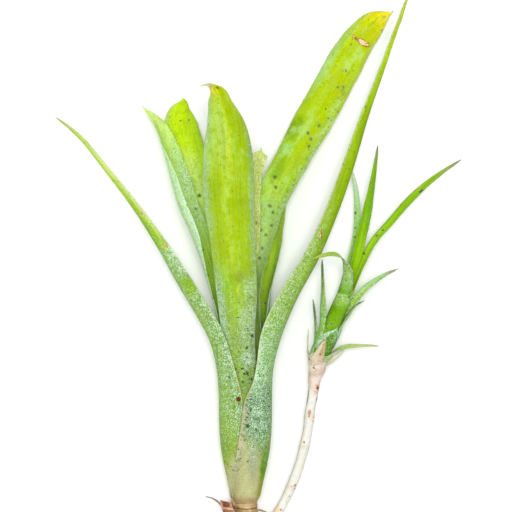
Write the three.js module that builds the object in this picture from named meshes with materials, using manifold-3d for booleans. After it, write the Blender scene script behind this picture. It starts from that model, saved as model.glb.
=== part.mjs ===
// A bare-rooted bromeliad rosette with a runner and a pup, laid on its back.
// Millimetres, +Z up. The shoot points along +Y, and the viewer looks down on it.

import * as THREE from 'three';
import { mergeVertices } from 'three/addons/utils/BufferGeometryUtils.js';
import Module from 'manifold-3d';

const wasm = await Module();
wasm.setup();

// Driving dimensions
const leafThickness = 0.65;
const smallLeafThickness = 0.6;
const clearance = 0.3;
const layerPitch = leafThickness + clearance;
const tubeAxisHeight = 8.6;
const tubeTilt = 6;
const runnerRadius = 1.5;
const rootRadius = 0.4;
const rootTaper = 0.03;
const mergeDistance = 1e-4;

// The flat spot under the sheath tube, which is moved to the origin at the end
const restSpotY = -4;

// Outer radius of the sheath tube by height along the shoot: [height, radius]
const tubeProfile = [
  [-24, 4.9],
  [-17, 6.4],
  [-12, 7.5],
  [-8, 8.2],
  [-3, 8.7],
  [2, 8.9],
  [8, 8.95],
  [30, 8.95],
];

const vec = (x, y, z) => new THREE.Vector3(x, y, z);
const radians = THREE.MathUtils.degToRad;

// A shoot is a straight axis that leaves wrap round: heights run along it from its foot.
const straightShoot = (foot, direction) => {
  const along = direction.clone().normalize();
  return { along, at: (height) => foot.clone().addScaledVector(along, height) };
};

const mother = straightShoot(
  vec(0, 0, tubeAxisHeight),
  vec(0, Math.cos(radians(tubeTilt)), Math.sin(radians(tubeTilt))),
);
const pup = straightShoot(vec(23.2, 21, 8), vec(0.42, 0.907, 0.02));

// Sideways and upward directions square to a leaf's course
const crossFrame = (along) => {
  const side = along.clone().cross(vec(0, 0, 1)).normalize();
  return { side, up: side.clone().cross(along) };
};

const turned = (frame, angle) =>
  frame.side.clone().multiplyScalar(Math.cos(angle)).addScaledVector(frame.up, Math.sin(angle));

// Cubic through rows of numbers, at distance s, with slopes from the neighbouring spans
const slopeAt = (stops, rows, i, k) => {
  const last = stops.length - 1;
  if (i === 0 || i === last) {
    const a = i === 0 ? 0 : last - 1;
    return (rows[a + 1][k] - rows[a][k]) / (stops[a + 1] - stops[a]);
  }
  const before = stops[i] - stops[i - 1];
  const after = stops[i + 1] - stops[i];
  const slopeBefore = (rows[i][k] - rows[i - 1][k]) / before;
  const slopeAfter = (rows[i + 1][k] - rows[i][k]) / after;
  return (slopeBefore * after + slopeAfter * before) / (before + after);
};

const cubicThrough = (stops, rows, s) => {
  let i = 0;
  while (i < stops.length - 2 && s > stops[i + 1]) i += 1;
  const span = stops[i + 1] - stops[i];
  const t = (s - stops[i]) / span;
  return rows[i].map((value, k) => {
    const m0 = slopeAt(stops, rows, i, k) * span;
    const m1 = slopeAt(stops, rows, i + 1, k) * span;
    const end = rows[i + 1][k];
    return (2 * t ** 3 - 3 * t ** 2 + 1) * value + (t ** 3 - 2 * t ** 2 + t) * m0
      + (3 * t ** 2 - 2 * t ** 3) * end + (t ** 3 - t ** 2) * m1;
  });
};

const tubeRadius = (height) =>
  cubicThrough(tubeProfile.map((p) => p[0]), tubeProfile.map((p) => [p[1]]), height)[0];

// A leaf's rows are [x, y, z, radius, wrap, turn, freedom]: a point of its back, the radius and
// half angle of its curved section in degrees, the way its back faces (0 right, 90 up, 180 left),
// and 0 where it lies round the shoot or 1 where it is free.
const sheathRow = (shoot, height, radius, turn, wrap, shift = 0) => {
  const out = turned(crossFrame(shoot.along), radians(turn)).multiplyScalar(radius + shift);
  const back = shoot.at(height).add(out);
  return [back.x, back.y, back.z, radius, wrap, turn, 0];
};

// A free row is given by its half width, measured across the curve of the blade
const bladeRow = ([x, y, z, halfWidth, wrap, turn]) =>
  [x, y, z, halfWidth / radians(wrap), wrap, turn, 1];

// Rows inside the sheath tube, from where the leaf is seated up to the mouth. The half wraps are given
// at its foot and at the mouth, and a shift sets the sheath off the axis towards its own back.
const sheathHeights = [-17, -12, -8, -3, 2, 8];
const shortestStep = 2;

const sheathRows = ({ layer, from, turn, wraps, shift = 0 }) => {
  const heights = [from, ...sheathHeights.filter((h) => h > from + shortestStep)];
  return heights.map((height, i) => {
    const wrap = wraps[0] + (wraps[1] - wraps[0]) * Math.sqrt(i / (heights.length - 1));
    const aside = shift * (tubeRadius(height) / tubeRadius(0));
    const radius = tubeRadius(height) - layer * layerPitch - aside;
    return sheathRow(mother, height, radius, turn, wrap, aside);
  });
};

const merged = (geometry) => {
  const bare = geometry.index ? geometry.toNonIndexed() : geometry;
  bare.deleteAttribute('normal');
  bare.deleteAttribute('uv');
  return mergeVertices(bare, mergeDistance);
};

// Faces round a stack of rings, still open at the two ends: the last ring starts at point number last
const wallOf = (rings) => {
  const around = rings[0].length;
  const points = rings.flat().flatMap((p) => [p.x, p.y, p.z]);
  const faces = [];
  for (let i = 0; i < rings.length - 1; i += 1) {
    for (let j = 0; j < around; j += 1) {
      const a = i * around + j;
      const b = i * around + ((j + 1) % around);
      faces.push(a, a + around, b + around, a, b + around, b);
    }
  }
  const last = (rings.length - 1) * around;
  return { points, faces, around, last };
};

const toGeometry = (points, faces) => {
  const geometry = new THREE.BufferGeometry();
  geometry.setAttribute('position', new THREE.Float32BufferAttribute(points, 3));
  geometry.setIndex(faces);
  return geometry;
};

const distancesAlong = (rows) => {
  const stops = [0];
  for (let i = 1; i < rows.length; i += 1) {
    stops.push(stops[i - 1] + vec(...rows[i]).distanceTo(vec(...rows[i - 1])));
  }
  return stops;
};

// Each span between rows, cut in equal steps
const stationsAlong = (stops, steps) => {
  const stations = [0];
  for (let i = 1; i < stops.length; i += 1) {
    for (let k = 1; k <= steps; k += 1) {
      stations.push(stops[i - 1] + ((stops[i] - stops[i - 1]) * k) / steps);
    }
  }
  return stations;
};

// The way the rows run at distance s, from two points close before and after it
const courseAt = (stops, rows, s) => {
  const total = stops[stops.length - 1];
  const nudge = total / 1000;
  const ahead = vec(...cubicThrough(stops, rows, Math.min(s + nudge, total)));
  const behind = vec(...cubicThrough(stops, rows, Math.max(s - nudge, 0)));
  return ahead.sub(behind).normalize();
};

// A leaf: an arc of a circle carried along its course, with the inner face one thickness in. Where
// a floor is given, the leaf is pressed flat on it.
const leafGeometry = (shoot, rows, options = {}) => {
  const { thickness = leafThickness, steps = 2, across = 8, floor = -Infinity } = options;
  const stops = distancesAlong(rows);
  const rings = stationsAlong(stops, steps).map((s) => {
    const [x, y, z, radius, wrap, turn, freedom] = cubicThrough(stops, rows, s);
    const course = courseAt(stops, rows, s).multiplyScalar(freedom);
    const frame = crossFrame(course.addScaledVector(shoot.along, 1 - freedom).normalize());
    const centre = vec(x, y, z).addScaledVector(turned(frame, radians(turn)), -radius);
    const outer = [];
    const inner = [];
    for (let j = 0; j <= across; j += 1) {
      const direction = turned(frame, radians(turn - wrap + (2 * wrap * j) / across));
      const back = centre.clone().addScaledVector(direction, radius);
      const face = centre.clone().addScaledVector(direction, radius - thickness);
      back.z = Math.max(back.z, floor);
      face.z = Math.max(face.z, floor + thickness);
      outer.push(back);
      inner.unshift(face);
    }
    return [...outer, ...inner];
  });
  const { points, faces, around, last } = wallOf(rings);
  for (let j = 0; j < across; j += 1) {
    const a = j;
    const b = j + 1;
    const c = around - 1 - j;
    const d = around - 2 - j;
    faces.push(a, b, d, a, d, c);
    faces.push(last + a, last + d, last + b, last + a, last + c, last + d);
  }
  return toGeometry(points, faces);
};

// Round stem along rows of [x, y, z, radius], closed by flat ends
const stemGeometry = (rows, { steps, around }) => {
  const stops = distancesAlong(rows);
  const rings = stationsAlong(stops, steps).map((s) => {
    const [x, y, z, radius] = cubicThrough(stops, rows, s);
    const frame = crossFrame(courseAt(stops, rows, s));
    const ring = [];
    for (let j = 0; j < around; j += 1) {
      const direction = turned(frame, (2 * Math.PI * j) / around);
      ring.push(vec(x, y, z).addScaledVector(direction, radius));
    }
    return ring;
  });
  const { points, faces, last } = wallOf(rings);
  for (let j = 1; j < around - 1; j += 1) {
    faces.push(0, j, j + 1);
    faces.push(last, last + j + 1, last + j);
  }
  return toGeometry(points, faces);
};

const toManifold = (geometry) => {
  const clean = merged(geometry);
  return new wasm.Manifold(new wasm.Mesh({
    numProp: 3,
    vertProperties: new Float32Array(clean.attributes.position.array),
    triVerts: new Uint32Array(clean.index.array),
  }));
};

const fromManifold = (solid) => {
  const mesh = solid.getMesh();
  return toGeometry(Array.from(mesh.vertProperties), Array.from(mesh.triVerts));
};

const plant = new THREE.Group();

const addPiece = (name, geometry, color, roughness = 0.6) => {
  const mesh = new THREE.Mesh(geometry, new THREE.MeshStandardMaterial({ color, roughness, metalness: 0 }));
  mesh.name = name;
  plant.add(mesh);
};

// Mother stem: a cone that the sheaths stand on one above another, with wiry roots at its foot
const stemProfile = [
  [-36, 2.6],
  [-34, 3.9],
  [-29, 4.2],
  [-25, 4.1],
  [-23.6, 4],
  [-22.4, 3.1],
  [-16, 2.95],
  [-12.5, 2.75],
  [-10, 2.25],
  [-7, 1.8],
  [0, 1.5],
  [6, 1.1],
];
const roots = [
  [[-2.5, -30, 4.5], [-6.5, -26.2, 4.2], [-9.5, -23.6, 4.6], [-12.2, -22.7, 5.2]],
  [[-2.5, -31, 4.8], [-6, -27.5, 3.6], [-8, -24.8, 3.2], [-9.6, -23.7, 3.4]],
  [[2.5, -29.5, 6.5], [4.8, -27, 6.8], [6.8, -27.6, 6.6], [8.1, -28.2, 6.2]],
  [[-1, -34, 4.5], [-3, -38, 3.2], [-4.2, -41, 2.4], [-6.8, -43.6, 2]],
  [[0.5, -34, 4.2], [0.8, -38.4, 2.6], [2.2, -41.6, 1.8], [2.6, -45, 1.6]],
];

const stemGeometryWithRoots = () => {
  const rows = stemProfile.map(([height, radius]) => [...mother.at(height).toArray(), radius]);
  const body = toManifold(stemGeometry(rows, { steps: 2, around: 14 }));
  return fromManifold(roots.reduce((whole, route) => {
    const tapered = route.map((p, i) => [...p, rootRadius - rootTaper * i]);
    return whole.add(toManifold(stemGeometry(tapered, { steps: 3, around: 5 })));
  }, body));
};

addPiece('stem', stemGeometryWithRoots(), '#b99a68', 0.85);

// Mother leaves, outermost sheath first
const motherLeaf = (name, color, sheath, blade, options) => {
  const rows = [...sheathRows(sheath), ...blade.map(bladeRow)];
  addPiece(name, leafGeometry(mother, rows, options), color);
};

motherLeaf('leaf_right_long', '#8cc050', { layer: 0, from: -23.6, turn: -10, wraps: [160, 100] }, [
  [9.5, 18.9, 11, 10.5, 67, 0],
  [11.8, 28.2, 12, 9.8, 68, 10],
  [16.5, 40.3, 12.5, 7.3, 65, 20],
  [23.3, 53.1, 13, 5.7, 62, 25],
  [29, 66.6, 13.3, 4.7, 60, 28],
  [33.9, 80.3, 13.5, 4.3, 60, 28],
  [39.1, 97.6, 13, 3, 58, 28],
  [44.8, 114.2, 12.5, 2, 50, 28],
  [50.2, 130.2, 12, 1.2, 34, 28],
  [54.1, 141.8, 11.5, 0.35, 10, 28],
], { across: 12, floor: 0 });

const leftNarrowSheath = { layer: 1, from: -21.6, turn: 180, wraps: [120, 92], shift: 0.7 };

motherLeaf('leaf_left_narrow', '#90c850', leftNarrowSheath, [
  [-9.1, 20.2, 11.3, 10, 68, 178],
  [-11.3, 28.2, 12.8, 7.6, 63, 168],
  [-14.3, 34.2, 13, 6.4, 60, 160],
  [-21, 45.8, 13.4, 5.4, 60, 155],
  [-27.5, 57.3, 14, 4.1, 58, 155],
  [-35.8, 70.1, 14.5, 2.7, 55, 155],
  [-44.5, 81.6, 15, 2.1, 50, 155],
  [-53.9, 93.1, 15, 1.3, 36, 155],
  [-60, 98.2, 15, 0.35, 10, 155],
], { across: 10 });

motherLeaf('leaf_front_broad', '#a8d820', { layer: 2.8, from: -16, turn: 92, wraps: [70, 62] }, [
  [-1.1, 20.2, 17.4, 5.6, 50, 92],
  [-1.8, 28.2, 18.4, 6, 48, 92],
  [-2.2, 40, 22, 7.1, 46, 91],
  [-3.4, 57, 27, 7.6, 38, 90],
  [-4.7, 73, 30.6, 8.6, 36, 90],
  [-5, 85, 33, 8.4, 36, 90],
  [-5.7, 94.5, 35, 7.2, 34, 90],
  [-7.4, 102, 36.6, 4.9, 28, 90],
  [-9.6, 107.6, 37.9, 1.9, 18, 90],
  [-11.8, 109, 38.2, 0.5, 12, 90],
  [-14, 108.2, 38, 0.35, 10, 90],
]);

motherLeaf('leaf_left_channelled', '#98d050', { layer: 3.8, from: -12.5, turn: 205, wraps: [60, 50] }, [
  [-7, 22, 10, 4.2, 38, 200],
  [-9, 37, 11.3, 4, 35, 196],
  [-11.4, 45.5, 12, 4.2, 37, 196],
  [-13.3, 52, 12.2, 5.6, 50, 196],
  [-16.2, 60, 12.2, 7.6, 68, 197],
  [-20.6, 70, 11.8, 8, 74, 198],
  [-23.4, 80, 11, 7.4, 70, 202],
  [-25.8, 89, 9.8, 5.2, 56, 215],
  [-28.4, 95.6, 9, 3.6, 46, 222],
  [-32.6, 102, 9, 0.35, 10, 224],
]);

motherLeaf('leaf_right_back', '#6c9a10', { layer: 3.8, from: -12.5, turn: -22, wraps: [62, 50] }, [
  [6.8, 22, 8.6, 5.2, 48, -24],
  [7.4, 34.6, 8.4, 6.2, 60, -28],
  [7.2, 43.8, 7.6, 6.2, 62, -45],
  [8.2, 52.8, 6, 5.6, 56, -62],
  [9, 63.4, 3.6, 5, 50, -75],
  [10.4, 72, 2.2, 3.4, 38, -82],
  [13.4, 80, 1.4, 0.35, 10, -85],
]);

motherLeaf('leaf_right_broad', '#a8d020', { layer: 4.8, from: -10, turn: -35, wraps: [52, 50] }, [
  [4.4, 24, 9.4, 3.9, 40, -42],
  [2.6, 44.8, 9.2, 5.2, 56, -62],
  [5.6, 59.2, 7.4, 5.8, 58, -70],
  [9.4, 72, 5.6, 6.2, 54, -76],
  [13.9, 81.3, 4.4, 6.2, 50, -78],
  [17.5, 88, 3.4, 6.4, 48, -80],
  [22.7, 97.3, 2, 6.8, 46, -80],
  [29.4, 109.6, 0.6, 6.6, 44, -80],
  [34.4, 118.7, 0.12, 6.3, 44, -80],
  [38.6, 124.8, 0.6, 5.4, 42, -80],
  [43, 129.4, 1.4, 3.6, 34, -80],
  [47.7, 132.3, 2.2, 0.35, 10, -80],
]);

motherLeaf('leaf_left_back', '#b0d818', { layer: 4.8, from: -10, turn: 222, wraps: [46, 44] }, [
  [-2.9, 24, 9.1, 2.7, 30, 236],
  [-4.2, 38, 7.5, 2.5, 24, 250],
  [-5.9, 45, 6.4, 2.6, 22, 253],
  [-8.2, 52, 5.4, 3.5, 26, 256],
  [-11.8, 64, 4, 4.4, 28, 258],
  [-14.6, 75, 2.7, 4.9, 27, 260],
  [-16.9, 84, 1.6, 5.2, 26, 262],
  [-19.2, 92, 0.6, 5.4, 26, 264],
  [-20.4, 97.5, 0.06, 4.8, 26, 264],
  [-20.4, 101.6, 0.5, 3, 20, 264],
  [-19.5, 104.6, 1.2, 0.35, 10, 264],
]);

motherLeaf('leaf_heart', '#c8d870', { layer: 5.8, from: -7, turn: 268, wraps: [56, 46] }, [
  [0.4, 24, 10.4, 2.4, 40, 268],
  [1.2, 45, 12, 2.4, 38, 268],
  [2.8, 62, 13.4, 2.6, 38, 268],
  [4.2, 76, 14.4, 2.7, 38, 270],
  [4.4, 84, 14.8, 2.5, 34, 270],
  [4.9, 87.2, 15, 1.2, 20, 270],
  [5.3, 88.4, 15, 0.35, 10, 270],
], { across: 6 });

// Torn brown scale at the left of the stem
const stemScaleRows = [
  sheathRow(mother, -31.5, 5.25, 135, 34),
  sheathRow(mother, -29, 5.5, 138, 42),
  sheathRow(mother, -26.5, 6.2, 142, 42),
  sheathRow(mother, -24, 7.4, 146, 36),
];

addPiece('stem_bract', leafGeometry(mother, stemScaleRows), '#7a5230', 0.9);

// Runner from the mother stem to the pup, thicker at its scale-bearing nodes, then the pup's stem
const pupStemRow = (height, radius) => [...pup.at(height).toArray(), radius];
const runnerRoute = [
  [5.2, -33.2, 5.6, runnerRadius],
  [8.6, -31.4, 5.6, runnerRadius],
  [11, -27.8, 5.9, runnerRadius + 0.15],
  [13.3, -22.7, 6.2, runnerRadius],
  [15.9, -19.5, 6.5, runnerRadius + 0.2],
  [18.4, -9.6, 7, runnerRadius],
  [19.2, -5.6, 7.2, runnerRadius + 0.3],
  [20.4, 1, 7.5, runnerRadius],
  [21, 4.2, 7.6, runnerRadius + 0.25],
  [21.7, 7.7, 7.8, runnerRadius],
  [22.4, 11.5, 7.9, runnerRadius + 0.1],
  [22.8, 16, 8, 2.1],
  pupStemRow(0, 2.4),
  pupStemRow(5, 1.9),
  pupStemRow(9, 1.4),
  pupStemRow(14, 0.85),
  pupStemRow(21, 0.6),
];

addPiece('runner', stemGeometry(runnerRoute, { steps: 3, around: 10 }), '#efe9dc', 0.6);

// Pup leaves: each has a short sheath round the pup's stem, then its blade. A sheath row is
// [height, radius, turn, wrap], and a blade row is as in the mother's leaves.
const pupLeaf = (name, color, sheath, blade, options = {}) => {
  const rows = [...sheath.map((row) => sheathRow(pup, ...row)), ...blade.map(bladeRow)];
  addPiece(name, leafGeometry(pup, rows, { thickness: smallLeafThickness, across: 6, ...options }), color);
};

pupLeaf('pup_leaf_upright', '#3f8a20', [[14.5, 1.7, 150, 68], [20, 1.75, 150, 62]], [
  [32.8, 46, 8.6, 1.9, 56, 165],
  [35.2, 52.6, 8.8, 1.5, 48, 180],
  [37, 59.5, 8.9, 1.4, 44, 200],
  [38.8, 66.9, 9, 1.4, 42, 215],
  [40.7, 76.5, 9.2, 1, 34, 225],
  [42.7, 89.4, 9.4, 0.32, 10, 230],
]);

pupLeaf('pup_leaf_right_long', '#6ab800', [
  [6.5, 2.6, 38, 112],
  [12, 2.7, 24, 104],
  [16, 2.7, 2, 86],
  [19.5, 2.5, -22, 64],
], [
  [35.4, 44, 7.4, 2.2, 56, -30],
  [37.6, 50.4, 7.2, 1.7, 48, -38],
  [42, 59, 7.6, 1.6, 46, -48],
  [46.6, 64.3, 8, 1.6, 44, -55],
  [52.6, 71.3, 8.5, 1.5, 42, -60],
  [57.9, 76.5, 9, 1.2, 36, -60],
  [64, 81.3, 9.6, 0.7, 22, -60],
  [69.3, 84.8, 10, 0.32, 10, -60],
]);

pupLeaf('pup_leaf_back', '#a8d8a0', [[16, 2.9, 234, 28], [20, 2.9, 236, 28]], [
  [32.6, 47.6, 5.6, 1.6, 36, 250],
  [34.6, 54, 5.2, 1.5, 42, 258],
  [36, 60.8, 5, 1.2, 42, 266],
  [36.8, 68.2, 5, 1, 40, 270],
  [36.2, 74.9, 5, 0.8, 32, 270],
  [34.6, 81.3, 5, 0.32, 10, 270],
]);

pupLeaf('pup_leaf_arched', '#a0d8b0', [[18.5, 2.8, 118, 42], [21.5, 2.8, 118, 43]], [
  [31.5, 48.2, 12, 1.8, 50, 124],
  [31.2, 53, 13.6, 0.9, 38, 160],
  [28.6, 55.4, 16, 0.8, 32, 240],
  [25.2, 55, 17.4, 0.6, 26, 265],
  [21.8, 53.4, 17.8, 0.32, 10, 270],
], { steps: 3 });

pupLeaf('pup_leaf_right_middle', '#8cc860', [[15.5, 3.65, -8, 30], [18.5, 3.65, -8, 30]], [
  [37, 42.4, 8.8, 1.4, 40, -20],
  [40.9, 46.4, 9.2, 1, 36, -60],
  [44.8, 48.9, 9.5, 0.7, 24, -70],
  [49.6, 50.3, 9.6, 0.32, 10, -70],
]);

pupLeaf('pup_leaf_right_small', '#78b850', [[5.6, 3.5, -8, 28], [9.5, 3.75, -8, 28]], [
  [35, 34, 8.2, 1.1, 32, -14],
  [36.4, 37.2, 8.8, 0.7, 24, -20],
  [38.6, 39.8, 9.1, 0.32, 10, -20],
]);

pupLeaf('pup_leaf_left_upright', '#90c890', [[8.8, 3.6, 158, 30], [12, 3.65, 160, 30]], [
  [25.2, 38.4, 9, 1.2, 40, 162],
  [25.2, 44.5, 9.6, 0.9, 32, 160],
  [24.8, 52.8, 9.8, 0.32, 10, 160],
]);

pupLeaf('pup_leaf_left_small', '#98c898', [[1.5, 3.25, 198, 32], [5, 3.3, 198, 30]], [
  [22.5, 29.6, 7.2, 1.1, 36, 190],
  [22.4, 34.5, 7.6, 0.8, 26, 185],
  [21.9, 40.3, 7.8, 0.32, 10, 185],
]);

pupLeaf('pup_leaf_front_sheath', '#a0d8c0', [[0.5, 3.3, 78, 52], [6, 4, 80, 52]], [
  [28.3, 28.6, 12.6, 2.2, 36, 82],
  [29.8, 31.2, 12.9, 0.35, 10, 84],
], { steps: 3 });

pupLeaf('pup_leaf_right_low', '#b0d060', [[0.4, 3.15, -36, 38], [2.4, 3.2, -36, 36]], [
  [29.6, 24, 6, 0.9, 34, -60],
  [32.6, 25, 6.2, 0.8, 30, -70],
  [36, 25.4, 6.4, 0.7, 24, -75],
  [39.7, 25.5, 6.4, 0.5, 16, -75],
  [43.2, 25.3, 6.2, 0.32, 10, -75],
]);

pupLeaf('pup_bract_tan', '#c8a078', [[-1.6, 3.2, 130, 34], [1, 4.6, 120, 32]], [
  [24.3, 25, 13.3, 1.5, 30, 108],
  [26.1, 27.6, 14, 0.35, 10, 104],
]);

pupLeaf('pup_bract_pale', '#e8e0c0', [], [
  [25.1, 17.2, 6, 0.8, 24, -45],
  [27.6, 18.9, 4.7, 1, 28, -55],
  [29.6, 21, 4.2, 0.8, 26, -65],
  [31.5, 23.3, 4, 0.32, 10, -70],
]);

pupLeaf('pup_bract_thread', '#d8d0a8', [[-1, 3.05, 205, 12]], [
  [20.2, 25.6, 6.6, 0.4, 14, 195],
  [20.5, 31, 6.8, 0.32, 10, 190],
], { across: 4 });

plant.position.y = -restSpotY;

export default plant;
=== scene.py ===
import bpy
import numpy as np
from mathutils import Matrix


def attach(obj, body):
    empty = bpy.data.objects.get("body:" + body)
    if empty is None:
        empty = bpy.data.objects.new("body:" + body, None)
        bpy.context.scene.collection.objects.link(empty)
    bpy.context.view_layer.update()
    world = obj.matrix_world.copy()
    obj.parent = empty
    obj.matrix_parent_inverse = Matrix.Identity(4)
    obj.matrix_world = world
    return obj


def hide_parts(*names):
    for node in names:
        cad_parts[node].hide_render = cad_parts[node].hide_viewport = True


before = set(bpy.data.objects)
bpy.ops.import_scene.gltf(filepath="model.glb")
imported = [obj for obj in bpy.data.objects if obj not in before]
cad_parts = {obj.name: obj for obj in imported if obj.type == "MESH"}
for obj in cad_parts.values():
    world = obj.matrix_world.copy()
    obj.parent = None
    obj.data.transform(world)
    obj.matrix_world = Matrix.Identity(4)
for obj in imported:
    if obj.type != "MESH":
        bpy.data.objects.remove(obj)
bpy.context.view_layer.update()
print("frame loaded:", len(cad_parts), "nodes")

# The plant's lengths are millimetres and its angles degrees, and its meshes are written in metres.
# Rows and marks count from the point where the rosette's axis crosses height nought, with +Y along the shoot.
metresPerMm = 0.001
restSpotY = -4.0  # the flat spot under the sheath tube, which is the frame's origin
frameShift = np.array([0.0, -restSpotY, 0.0])
leafThickness = 0.65
clearance = 0.3
layerPitch = leafThickness + clearance
tubeAxisHeight = 8.6
tubeTilt = np.radians(6)
upward = np.array([0.0, 0.0, 1.0])
farAway = 5.0  # a reach that no mark comes to

tubeProfile = np.array([  # height along the shoot, outer radius of the sheath tube
    [-24, 4.9], [-17, 6.4], [-12, 7.5], [-8, 8.2], [-3, 8.7], [2, 8.9], [8, 8.95], [30, 8.95],
])
sheathHeights = [-17, -12, -8, -3, 2, 8]
shortestStep = 2


# Shapes

def unit(vectors):
    # each vector divided by its length
    return vectors / np.linalg.norm(vectors, axis=-1, keepdims=True)


def smoothStep(low, high, x):
    # 0 below low, 1 above high, and 3t^2 - 2t^3 between
    t = np.clip((x - low) / (high - low), 0, 1)
    return t * t * (3 - 2 * t)


def cubicThrough(stops, rows, s):
    # Hermite cubic through the rows at distances s: the slope at a row is the mean of its two spans' slopes,
    # each weighted by the other span's length
    spans = np.diff(stops)
    rises = np.diff(rows, axis=0) / spans[:, None]
    before, after = spans[:-1, None], spans[1:, None]
    inner = (rises[:-1] * after + rises[1:] * before) / (before + after)
    slopes = np.vstack([rises[:1], inner, rises[-1:]])
    i = np.clip(np.searchsorted(stops, s, side="right") - 1, 0, len(spans) - 1)
    t = ((s - stops[i]) / spans[i])[:, None]
    span = spans[i][:, None]
    start = (2 * t**3 - 3 * t**2 + 1) * rows[i] + (t**3 - 2 * t**2 + t) * span * slopes[i]
    return start + (3 * t**2 - 2 * t**3) * rows[i + 1] + (t**3 - t**2) * span * slopes[i + 1]


def distancesAlong(rows):
    # running length of the line through the rows' points
    steps = np.linalg.norm(np.diff(rows[:, :3], axis=0), axis=1)
    return np.concatenate([[0.0], np.cumsum(steps)])


def crossFrame(along):
    # side is along x up, and up is side x along, so both are square to the course
    side = unit(np.cross(along, upward))
    return side, np.cross(side, along)


def turned(side, up, angle):
    # the direction at that angle from side towards up
    return np.cos(angle)[..., None] * side + np.sin(angle)[..., None] * up


def wander(s, seed, wavelength):
    # smooth random line: four sines of falling wavelength and height, with seeded phases
    phases = np.random.default_rng(seed).uniform(0, 2 * np.pi, 4)
    waves = [np.sin(2 * np.pi * s * 1.7**k / wavelength + phases[k]) / 1.5**k for k in range(4)]
    return sum(waves) / 2


class Shoot:
    # a straight axis from its foot, which leaves wrap round
    def __init__(self, foot, direction, bend=0.0):
        self.foot = np.array(foot, float)
        self.along = unit(np.array(direction, float))
        self.side, self.up = crossFrame(self.along)
        self.bend = bend

    def at(self, height):
        # along the axis, and aside by bend times the square of the height
        return self.foot + self.along * height - self.side * self.bend * max(height, 0) ** 2

    def sheathRow(self, height, radius, turn, wrap, shift=0.0):
        # [x, y, z, radius, wrap, turn, freedom] of a sheath round the axis
        out = turned(self.side, self.up, np.radians(turn))
        return [*(self.at(height) + out * (radius + shift)), radius, wrap, turn, 0.0]


mother = Shoot((0, 0, tubeAxisHeight), (0, np.cos(tubeTilt), np.sin(tubeTilt)))
pup = Shoot((23.2, 21, 8), (0.42, 0.907, 0.02), 0.0014)


def bladeRow(x, y, z, halfWidth, wrap, turn):
    # a free row: its radius follows from the half width measured round the curve
    return [x, y, z, halfWidth / np.radians(wrap), wrap, turn, 1.0]


def tubeRadius(height):
    # outer radius of the sheath tube, read off its profile
    return cubicThrough(tubeProfile[:, 0], tubeProfile[:, 1:], np.array([float(height)]))[0, 0]


def sheathRows(layer, start, turn, wraps, shift=0.0):
    # rows inside the sheath tube, where the half wrap goes from foot to mouth with the root of the height
    heights = [start] + [h for h in sheathHeights if h > start + shortestStep]
    rows = []
    for i, height in enumerate(heights):
        wrap = wraps[0] + (wraps[1] - wraps[0]) * np.sqrt(i / (len(heights) - 1))
        radius = tubeRadius(height)
        aside = shift * radius / tubeRadius(0)
        rows.append(mother.sheathRow(height, radius - layer * layerPitch - aside, turn, wrap, aside))
    return rows


def gridFaces(rings, around):
    # four-sided faces between neighbouring closed rings of points
    i, j = np.meshgrid(np.arange(rings - 1), np.arange(around), indexing="ij")
    a, b = i * around + j, i * around + (j + 1) % around
    return np.stack([a, a + around, b + around, b], axis=-1).reshape(-1, 4)


def writeMesh(name, points, faces, fields):
    # one mesh from arrays, in metres and moved to the frame, with its fields as vector attributes
    mesh = bpy.data.meshes.new(name)
    mesh.from_pydata((points + frameShift) * metresPerMm, [], faces)
    for field, values in fields.items():
        attribute = mesh.attributes.new(field, "FLOAT_VECTOR", "POINT")
        attribute.data.foreach_set("vector", np.ascontiguousarray(values, np.float32).ravel())
    mesh.polygons.foreach_set("use_smooth", np.ones(len(mesh.polygons), bool))
    mesh.update()
    piece = bpy.data.objects.new(name, mesh)
    bpy.context.scene.collection.objects.link(piece)
    return piece


def settle(piece, slot, material, *nodes):
    # gives the piece its material and body, and hides the CAD nodes that it stands for
    piece.data.materials.append(material)
    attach(piece, "root")
    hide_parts(*nodes)


leafForm = {
    "thickness": 0.55,
    "edgeThin": 0.3,  # thickness at the edge, as a share
    "stepAlong": 0.6,
    "across": 36,
    "edgeCrowd": 0.6,  # how far the columns draw together at the edges
    "tipLength": 3.0,
    "tipWidth": 0.1,
    "tipSteps": 12,
    "tipThin": 0.2,  # thickness where the leaf narrows to nothing, as a share
    "footLength": 2.5,
    "footHug": 0.0,  # how far the foot draws in to the stem
    "footThin": 0.6,  # how much thinner the foot is, as a share
    "edgeHug": 0.45,  # how far a sheath's edge draws in to the next sheath
    "wave": 0.15,
    "waveLength": 34.0,
    "toothSpacing": 2.1,
    "toothLength": 0.3,
    "toothRoot": 0.12,  # how deep a tooth's foot stands in the edge
    "toothHook": 0.75,  # how far its point leans towards the tip, as a share of its length
    "toothHalf": 0.34,  # half width of its foot, as a share of its length
    "toothStretch": (0.32, 0.97),  # where teeth stand, as shares of the length
    "toothSizes": (0.6, 1.15),  # shortest and longest tooth, as shares of toothLength
    "toothStray": 0.3,  # how far a tooth strays from even spacing, as a share of it
    "seed": 1,
    "floor": -1.0,
}


def leafStations(total, form):
    # even steps up to the tip's stretch, which then has steps that shorten towards the end
    bare = total - form["tipLength"]
    even = np.linspace(0, bare, int(np.ceil(bare / form["stepAlong"])) + 1)
    q = np.linspace(0, 1, form["tipSteps"] + 1)[1:]
    return np.concatenate([even, total - form["tipLength"] * (1 - q) ** 2])


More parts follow.
